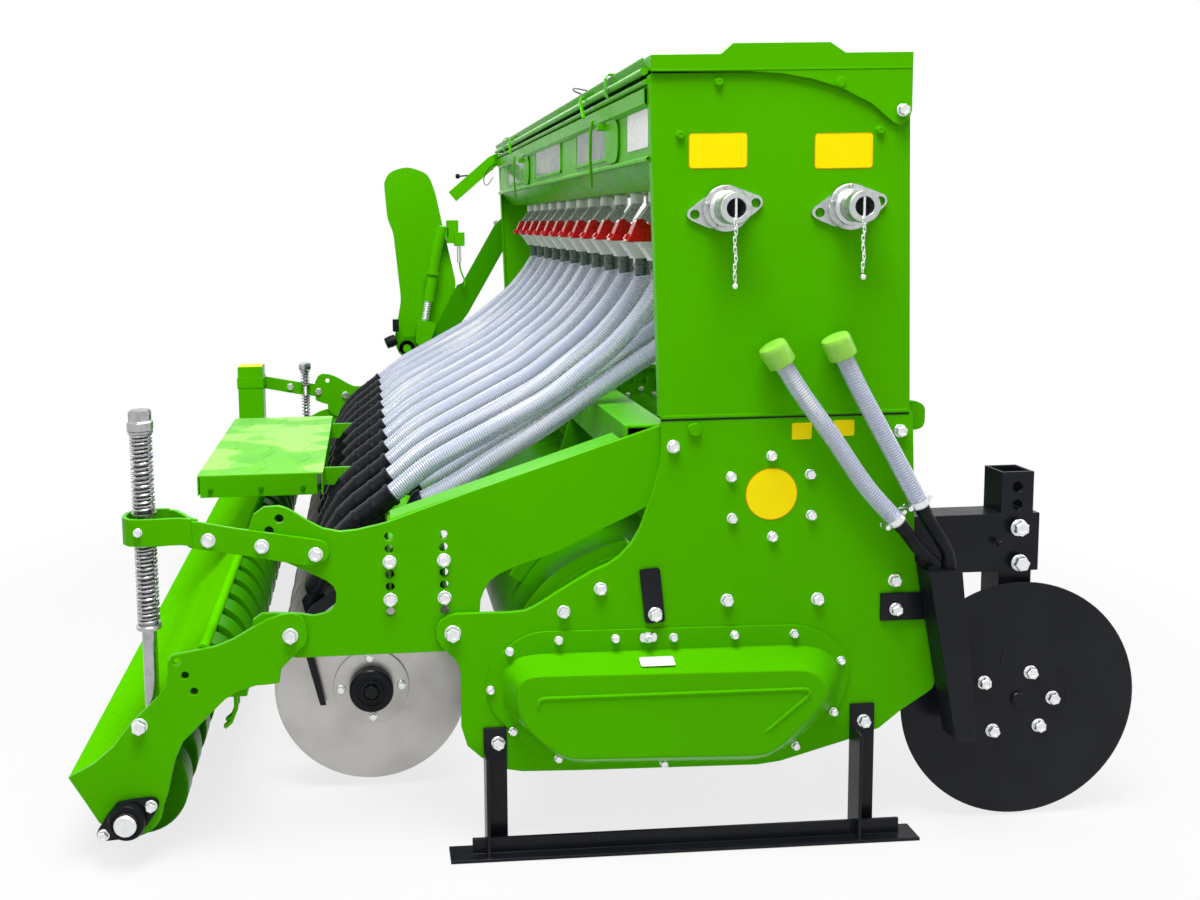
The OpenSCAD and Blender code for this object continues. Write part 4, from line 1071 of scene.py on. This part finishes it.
def make_links():
    """Right link bent round its rod; left link on its square post."""
    loop = [(-800, -1026, 611), (-840, -1026, 611), (-858, -1031, 611), (-869, -1044, 611), (-872, -1062, 611),
            (-869, -1080, 611), (-858, -1093, 611), (-840, -1098, 611), (-806, -1098, 611), (-790, -1095, 611),
            (-772, -1088, 609), (-752, -1086, 606)]
    bend = flat_bar(loop, UP, 48, 8, 1.2)
    tail = flat_bar([(-802, -1026, 611), (-788, -1032, 611), (-770, -1054, 609), (-758, -1072, 607),
                     (-744, -1078, 605)], UP, 44, 8, 1.2)
    leg = cut_plate(eased([[-764, 580], [-740, 575], [-687, 566], [-551, 538], [-524, 543], [-510, 560], [-518, 581],
                           [-540, 586], [-685, 612], [-740, 624], [-764, 628]], 12), -1088, -1080, 1.2)
    bolt_heads("link_stud", [facing(-842, -1102, 613)], 12, 8)
    seat = spun([(20, 588), (20, 592), (14, 592)], 28, (-838, -1062, 0))
    keep("right_link", [bend, tail, leg, seat], "green_paint", ["links"], angle=40)
    left = cut_plate(eased([[-905, 540], [-905, 588], [-824, 583], [-695, 557], [-501, 529], [-492, 506], [-502, 484],
                            [-699, 512], [-826, 538]], 10), 1080, 1088, 1.0)
    post = [bar((-911, 990, 420), (-821, 1080, 630), 3), bar((-880, 1074, 245), (-850, 1080, 421), 1.2),
            bar((-914, 987, 552), (-818, 1083, 592), 3)]
    keep("left_link", [left] + post, "green_paint", ["links"])
    keep("left_post_top", bar((-908, 993, 630), (-824, 1077, 631.5), 0.6), "white_plastic", finish="yellow")


def make_foot_board():
    """Foot board with pressed ridges, its skirts and its brackets."""
    top = eased([(-FOOT_Y, -851), (FOOT_Y, -851), (FOOT_Y, -552), (-FOOT_Y, -552)], 5)
    levels = ((1, 1, 545), (1, 1, 547.4), (0.999, 0.998, 548))
    sheet = [lofted([[(x*a, y*b, h) for y, x in top] for a, b, h in levels])]
    for k, cy in enumerate(range(-340, 341, 85)):
        for m, cx in enumerate((-800, -702, -604)):
            a = 0.35 if (k + m) % 2 else -0.28
            d = Vector((math.sin(a), math.cos(a), 0))
            ridge = [Vector((cx, cy, 547.6)) + d*t for t in (-44, -30, 0, 30, 44)]
            sheet.append(along_route(ridge, [0.3, 1.3, 1.7, 1.3, 0.3], 8))
    # Its finish carries painted light and painted reflections.
    keep("foot_board_top", sheet, "green_paint", ["foot_board"], finish="tread", angle=50)
    skirts = []
    for s in (-1, 1):
        skirts.append(bar((-845, (FOOT_Y - 6)*s, 494), (-566, FOOT_Y*s, 545.5), 1.0))
        skirts.append(bar((-845, (FOOT_Y - 40)*s, 494), (-566, (FOOT_Y - 4)*s, 498), 1))
    skirts += [bar((-851, -FOOT_Y, 500), (-847, FOOT_Y, 545), 1), bar((-556, -FOOT_Y, 493), (-552, FOOT_Y, 545), 1)]
    for y in (-300, 300):
        skirts.append(bar((-556, y - 5, 496), (-407, y + 5, 540), 1.2))
        skirts.append(bar((-840, y - 20, 486), (-560, y + 20, 494), 1.5))
    keep("foot_board_frame", skirts, "green_paint", ["foot_board"])
    bolt_heads("foot_board_bolts", [facing(x, -FOOT_Y, z) for x, z in ((-820, 512), (-700, 514), (-600, 514))], 9, 6,
               "dark_green_paint", mirror=True)


# ---------- ground tools ----------

def make_openers():
    """Polished disc with a ground rim, its clamped flange, and the black hub."""
    x, z = OPENER
    beside = 22     # the disc stands this far to the right of its row
    disc = turned([(188, -2), (194, -0.5), (194, 0.4), (187, 2), (140, 2.0), (80, 2)], 72)
    flange = turned([(76, 2), (76, 6), (74.5, 7), (50, 7)], 48)
    hub = turned([(44, 7), (44, 28), (41, 31), (30, 32), (29, 30), (24, 30), (23, 32), (17, 32), (17, 27)], 40)
    nut = turned([(15, 26), (15, 33.5), (13, 35), (6, 35)], 6)
    ring = joined(copies(hex_bolt(13, 9), [(*p, 7) for p in on_circle(4, 61)]))
    for i, y in enumerate(ROWS):
        spot = facing(x, y - beside, z, twist=2 + 3*(i % 5))
        body = f"disc_{i + 1}_body"
        keep(f"disc_plate_{i + 1}", [twin(disc, spot), twin(flange, spot)], "steel", [f"disc_{i + 1}"], finish="rolled",
             body=body)
        keep(f"disc_hub_{i + 1}", [twin(hub, spot), twin(nut, spot)], "black_rubber", body=body)
        keep(f"disc_bolts_{i + 1}", twin(ring, spot), "steel", angle=30, body=body)
    for master in (disc, flange, hub, nut, ring):
        bpy.data.objects.remove(master)


def make_side_discs():
    """Side disc with its boss, the line raised on its face, and its bolts, at both sides."""
    for side, name in ((-1, "right"), (1, "left")):
        spot = facing(763, side*1066, 229, (0, side, 0))
        plate = turned([(218, 0), (224, 2.4), (224, 3.6), (219, 6), (120, 6), (20, 6)], 96)
        boss = turned([(62, -10), (62, 0)], 40)
        arc = [(94*math.cos(a), 94*math.sin(a), 5.8) for a in (math.radians(-8 + 4.5*k) for k in range(27))]
        arc += [(-30, 88, 5.8), (-34, 78, 5.8), (-33, 70, 5.8)]
        line = along_route(arc, [0.6] + [1.2]*(len(arc) - 4) + [1.8, 2.2, 2.4], 8)
        stub = turned([(14, 6), (14, 9), (12.5, 11), (6, 11), (5, 9)], 24)
        parts = [plate, boss, line, stub]
        for part in parts:
            part.data.transform(spot @ (Matrix.Scale(-1, 4, FRONT) if side > 0 else Matrix()))
            if side > 0:
                part.data.flip_normals()
        keep(f"side_disc_plate_{name}", parts, "black_paint", [f"side_disc_{name}"], body=f"side_disc_{name}_body")
        holes = [(696, 264), (785, 280), (829, 229), (804, 176), (715, 170)]
        bolt_heads(f"side_disc_bolts_{name}",
                   [facing(x, side*1072, z, (0, side, 0), 20*i) for i, (x, z) in enumerate(holes)], 19, 13,
                   body=f"side_disc_{name}_body")
    bolts("disc_post_bolts", [(761, -1060, 554), (764, -1060, 487)], 24, 16)
    bolts("disc_beam_screws", [(724, -1060, 526)], 10, 7, "black_paint")


def make_guard():
    """Bent guard over the roller that reaches both arms, its upper edge rolled round a rail."""
    line = smooth_route([(-986, 0, 167), (-962, 0, 176), (-938, 0, 188), (-905, 0, 214), (-874, 0, 250), (-848, 0, 279),
                         (-823, 0, 303), (-798, 0, 332), (-770, 0, 364), (-744, 0, 396)], 16)
    sheet = flat_bar(line, LEFT, 2158, 3, 0.6)
    for y in (-1062, 1062):
        drilled(sheet, spun([(15, 0), (15, 120)], 24, (-838, y, 240)))
    rail = rod_across(-742, 390, 1079, 10, 20)
    tube = rod_across(-940, 174, 1080, 10, 16)
    # The guard takes the lighter green, whose colour is painted light.
    keep("guard_sheet", [sheet, rail, tube], "green_paint", ["roller_guard"], finish="guard_green", angle=50)


def make_ring_screen():
    """Bent bands in front of the roller, on an inner sheet whose very dark green is painted shade in the gaps between
    them.
    """
    outer = smooth_route([(-738, 0, 382), (-714, 0, 366), (-694, 0, 336), (-684, 0, 300), (-686, 0, 258)], 11)
    inner = smooth_route([(-748, 0, 368), (-730, 0, 352), (-712, 0, 328), (-702, 0, 298), (-704, 0, 258)], 14)
    pitch, count = 92, 10
    places = [(0, pitch*k, 0) for k in range(-count - 1, count + 2)]
    bands = copies(flat_bar(outer, LEFT, 58, 17, 2.5), places[1:-1])
    bands += copies(flat_bar(outer[:6], LEFT, 58, 17, 2.5), [places[0], places[-1]])
    keep("ring_screen_bands", bands, "dark_green_paint", angle=50)
    # The inner sheet's colour is painted shade seen between the bands.
    sheets = [flat_bar(inner, LEFT, 1900, 3, 0.6), flat_bar(inner[:5], LEFT, 2090, 2.6, 0.6)]
    keep("ring_screen_sheet", sheets, "dark_green_paint", finish="shade_green", angle=50)


def make_roller():
    """Roller tube with raised, slightly dished rings, welded on."""
    x, z = ROLLER
    pitch, side_rings = 120, 8
    ring = turned([(54, -30), (86, -30), (89.5, -27), (90, -24), (90, 24), (89.5, 27), (86, 30), (54, 30)], 48)
    parts = copies(ring, [facing(x, pitch*k, z, LEFT) for k in range(-side_rings, side_rings + 1)])
    tube = turned([(30, -1060), (54, -1060), (55, -1057), (55, 1057), (54, 1060), (30, 1060)], 48)
    parts.append(put(tube, (x, 0, z), LEFT))
    for s in (-1, 1):
        parts.append(spun([(20, 1055), (20, 1110)], 32, (x, 0, z), (0, s, 0)))
    keep("roller_drum", parts, "dark_green_paint", ["roller"], body="roller_body")


def make_rotor():
    """Rotor tube with its flanges; each flange carries six bent blades."""
    parts = [spun([(44, -1050), (44, 1050)], 40, (ROTOR[0], 0, ROTOR[1]), LEFT)]
    for s in (-1, 1):
        parts.append(spun([(25, 1045), (25, 1086)], 32, (ROTOR[0], 0, ROTOR[1]), (0, s, 0)))
    blade_line = [(58, 0, 0), (100, 0, 0), (150, 0, -6), (170, 0, -16), (182, 8, -24), (186, 30, -30), (187, 64, -34)]
    blades, heads = [], []
    flange = turned([(44, -5), (88, -5), (90, -3), (90, 3), (88, 5), (44, 5)], 40)
    count, pitch, turn_on = 9, 240, 25
    for i in range(count):
        y = pitch*(i - (count - 1)//2)
        parts.append(twin(flange, facing(ROTOR[0], y, ROTOR[1], LEFT)))
        for k in range(6):
            side = 1 if k % 2 else -1
            if (i == 0 and side < 0) or (i == count - 1 and side > 0):
                side = -side
            place = Matrix.Translation(Vector((ROTOR[0], y + side*9, ROTOR[1]))*MM)
            turn = place @ Matrix.Rotation(math.radians(60*k + turn_on*i), 4, "Y")
            blade = flat_bar([(p[0], p[1]*side, p[2]) for p in blade_line], (0.1, 0, 1), 52, 7, 1.5)
            blade.data.transform(turn)
            blades.append(blade)
            for r in (68, 82):
                head = hex_bolt(12, 8)
                head.data.transform(turn @ facing(r, side*4, 0, (0, side, 0)))
                heads.append(head)
    bpy.data.objects.remove(flange)
    keep("rotor_tube", parts, "dark_green_paint", ["rotor"], body="rotor_body")
    keep("rotor_blades", blades, "dark_green_paint", ["rotor"], finish="black_paint", body="rotor_body")
    keep("rotor_bolts", heads, "steel", angle=30, body="rotor_body")


# ---------- drive and hitch ----------

def make_gearbox():
    """Ribbed casting with its necks and top plate, and the flanged tube to the right side."""
    body = []
    for z, t in ((550, 14), (560, 2), (690, 0), (722, 10), (738, 14)):
        level = [(198 + t, -122 + t), (372 - t, -122 + t), (372 - t, 122 - t), (198 + t, 122 - t)]
        body.append([(x, y, z) for x, y in eased(level, 22)])
    body = lofted(body, 2)
    neck = spun([(70, 0), (70, 12), (56, 14), (48, 40), (48, 66), (52, 68), (52, 76), (46, 78), (26, 78)], 40,
               (368, 0, SHAFT_Z), FRONT)
    side = spun([(64, 0), (64, 10), (50, 12), (46, 26)], 40, (282, -118, SHAFT_Z), RIGHT)
    lid = spun([(60, 0), (60, 8), (54, 10), (20, 10), (14, 22), (10, 24)], 32, (285, 0, 736))
    ribs = [flat_bar([(x, s*118, 560), (x, s*126, 600), (x, s*126, 690), (x, s*118, 715)], FRONT, 7, 8, 2)
            for x in range(200, 371, 34) for s in (-1, 1)]
    plate = bar((100, -130, 740), (460, 130, 752), 3)
    keep("gearbox_casting", [body, neck, side, lid, plate] + ribs, "green_paint", ["gearbox"])
    rim = [facing(445, y, z, FRONT) for y, z in on_circle(6, 43.2, 0, SHAFT_Z)]
    rim += [facing(x, y, 752, UP) for x in (118, 442) for y in (-112, 112)]
    rim += [facing(x, y, 744, UP) for x, y in on_circle(6, 50, 285, 0)]
    bolt_heads("gearbox_bolts", rim, 13, 9)
    tube = spun([(56, 0), (56, 10), (41, 12), (40, 14), (40, 936), (41, 938), (56, 940), (56, 950)], 40,
               (282, -130, SHAFT_Z), RIGHT)
    keep("drive_tube_flanged", tube, "green_paint", ["drive_tube"])
    ring = [facing(x, y, z, out) for x, z in on_circle(8, 49, 282, SHAFT_Z)
            for y, out in ((-140, RIGHT), (-1070, LEFT))]
    bolt_heads("drive_tube_bolts", ring, 10, 7)


def make_input_shaft():
    """Splined input shaft: six wide splines with a locking groove."""
    outline = []
    for k in range(6):
        for a, r in ((-0.28, 14.6), (-0.24, 17.4), (0.24, 17.4), (0.28, 14.6)):
            t = math.tau*k/6 + a
            outline.append((r*math.cos(t), r*math.sin(t)))
    rings = [[(h, px*s, SHAFT_Z + pz*s) for px, pz in outline] for h, s in
             ((452, 1), (502, 1), (504, 0.86), (512, 0.86), (514, 1), (537, 1), (540, 0.9))]
    hub = spun([(20, 355), (20, 452), (19, 454)], 32, (0, 0, SHAFT_Z), FRONT)
    keep("input_shaft_splined", [lofted(rings, 0.4), hub], "steel", ["pto_shaft"], angle=30, body="pto_body")


def make_hitch_fittings():
    """Lower pins with their linch clips, and the mast's bolts."""
    pins = []
    for s in (-1, 1):
        pins.append(spun([(24, 0), (24, 5), (20, 6), (14, 8), (14, 92), (12, 95)], 32, (640, 411*s, 610), (0, s, 0)))
        clip = [(640, s*494, 626), (640, s*494, 596), (652, s*496, 590), (662, s*497, 606), (654, s*497, 624),
                (642, s*496, 628)]
        pins.append(along_route(smooth_route(clip, 4), 2.2, 8))
    keep("hitch_pins", pins, "steel")
    heads = [facing(565, s*412, z, (0, s, 0)) for s in (-1, 1) for z in (640, 700)]
    heads += [facing(x, s*52, z, (0, s, 0)) for s in (-1, 1) for x, z in ((575, 700), (590, 760))]
    bolt_heads("hitch_bolts", heads, 20, 14)


def make_wheel_arm():
    """The swinging leaf-shaped arm with its fold, and the strut, spring and clamp that stand beside it."""
    outline = eased([[-363, 1293], [-341, 1328], [-278, 1345], [-212, 1323], [-192, 1299], [-172, 1236], [-155, 1149],
                     [-130, 1037], [-102, 903], [-150, 750], [-215, 660], [-265, 640], [-318, 640], [-340, 700],
                     [-310, 853], [-334, 1107], [-354, 1150], [-363, 1269]], 26)
    paddle = cut_plate(outline, 1104, 1109, 0)
    only(paddle)
    bpy.ops.object.mode_set(mode="EDIT")
    for co, no in (((-0.334, 0, 1.245), (478, 0, 59)), ((-0.24, 0, 0.9), (1, 0, 0.24))):
        bpy.ops.mesh.select_all(action="SELECT")
        bpy.ops.mesh.bisect(plane_co=co, plane_no=no)
    bpy.ops.object.mode_set(mode="OBJECT")
    for v in paddle.data.vertices:
        x, z = v.co.x/MM, v.co.z/MM
        fold = -334 + (1245 - z)*59/478
        if x < fold and z > 700:
            v.co.y -= (fold - x)*0.15*MM
    soften(paddle, 1.0, 2, 30)
    hub = spun([(14, -14), (30, -14), (30, 0), (24, 4), (24, 12), (16, 12)], 32, (-292, 1104, 672), LEFT)
    keep("wheel_paddle", [paddle, hub], "green_paint", ["wheel_arm"], body="wheel_arm_body")
    bolt_heads("wheel_paddle_bolt", [facing(-292, 1114, 672, LEFT)], 22, 14, body="wheel_arm_body")
    tube = along_route([(-156, 1056, 1117), (-178, 1056, 1040), (-209, 1056, 848)], 20, 24)
    run = Vector((-156 + 209, 0, 1117 - 848)).normalized()
    collar = spun([(24, -5), (28, -3), (28, 4), (24, 6)], 32, (-195, 1056, 950), run)
    top = spun([(20, 0), (19, 4), (12, 8), (4, 9)], 24, (-156, 1056, 1117), run)
    base = [[-262, 700], [-256, 777], [-250, 784], [-190, 770], [-186, 757], [-200, 720], [-209, 690], [-242, 680]]
    bracket = cut_plate(eased(base, 10), 1030, 1078, 2)
    clamp = [bar((-140, 1046, 1061), (-96, 1074, 1145), 3), bar((-112, 1040, 1050), (-74, 1078, 1100), 3),
             bar((-160, 1046, 1080), (-130, 1068, 1120), 3)]
    hook = flat_bar([(-94, 1056, 992), (-90, 1056, 960), (-74, 1056, 920), (-78, 1056, 900)], LEFT, 10, 6, 1.2)
    keep("marker_strut", [tube, collar, top, bracket, hook] + clamp, "green_paint", angle=40)
    spring = coil(0, 0, 0, 78, 13, 2.6, 9)
    spring.data.transform(facing(-226, 1056, 776, run))
    rod = spun([(9, 0), (9, 80)], 16, (-226, 1056, 774), run)
    pin = spun([(8, 0), (8, 66), (11, 66), (11, 74), (8, 76)], 16, (-94, 1056, 989))
    keep("marker_spring", [spring, rod, pin], "steel", angle=60)
    black = [bar((-345, 1040, 740), (-322, 1066, 786), 3),
             spun([(10, -22), (20, -20), (22, 0), (20, 20), (10, 22)], 24, (-352, 1050, 704), (1, 0, 0.4))]
    keep("marker_rubber", black, "black_rubber")
    spots = ((-77, 827), (30, 1080), (50, 1130))
    bolt_heads("wheel_bracket_bolts", [facing(x, 1098, z, LEFT) for x, z in spots], 16, 11)


def on_hood(radius, degrees, y):
    """Point at a radius and angle round the rotor."""
    a = math.radians(degrees)
    return ROTOR[0] + radius*math.cos(a), y, ROTOR[1] + radius*math.sin(a)


def make_hood_trim():
    """Straps, ribs and bolts on the rotor hood."""
    strap_rows = (-1040, -700, -330, 330, 700, 1040)
    straps = [flat_bar([on_hood(231, 28 + 6*k, y) for k in range(22)], LEFT, 46, 5, 1) for y in strap_rows]
    straps.append(flat_bar([on_hood(231.5, 70, 0), on_hood(231.5, 74, 0)], LEFT, 2150, 4, 1))
    keep("hood_straps", straps, "green_paint")
    ribs = []
    sweep = [97 + 4*k for k in range(14)]
    for y in (-1058, -860, -520, 520, 860, 1058):
        arc = [on_hood(r, deg, 0)[::2] for r, turn in ((257, sweep), (230, sweep[::-1])) for deg in turn]
        ribs.append(cut_plate(arc, y - 4, y + 4, 1.0))
        ribs.append(cut_plate([[22, 530], [28, 530], [28, 557], [22, 557]], y - 18, y + 18, 1.0))
    keep("hood_ribs", ribs, "green_paint")
    heads = []
    for y in strap_rows:
        for a in (math.radians(deg) for deg in (50, 92, 128)):
            heads.append(facing(*on_hood(233, math.degrees(a), y), (math.cos(a), 0, math.sin(a))))
    bolt_heads("hood_bolts", heads, 16, 11)


# The frame's parts that only get eased edges, with the width of the easing in millimetres.
PLAIN_PARTS = [("side_plates", 1.5), ("arm_plates", 1.2), ("box_ends", 1.0), ("roller_arms", 1.4), ("stands", 1.2),
               ("cross_beams", 2.5), ("opener_beam", 3.0), ("hopper", 0.6), ("lid", 0.9), ("rotor_hood", 1.0),
               ("hitch", 1.5), ("shanks", 1.5), ("seed_spouts", 0.8), ("scrapers", 0.8), ("side_boots", 1.2),
               ("side_disc_mounts", 1.6), ("wheel_bracket", 1.2)]


set_camera()
finishes = make_finishes()
make_hoses()
set_light_and_floor()
dress_frame()
for part, width in PLAIN_PARTS:
    eased_copy(part, width)
for make in (make_boots, make_outlets, make_side_bolts, make_arm_fittings, make_drive_cover, make_box_trim,
             make_windows, make_couplings, make_chains, make_side_fittings, make_tension_rods, make_links,
             make_foot_board, make_openers, make_side_discs, make_guard, make_ring_screen, make_roller,
             make_rotor, make_gearbox, make_input_shaft, make_hitch_fittings, make_wheel_arm, make_hood_trim):
    make()
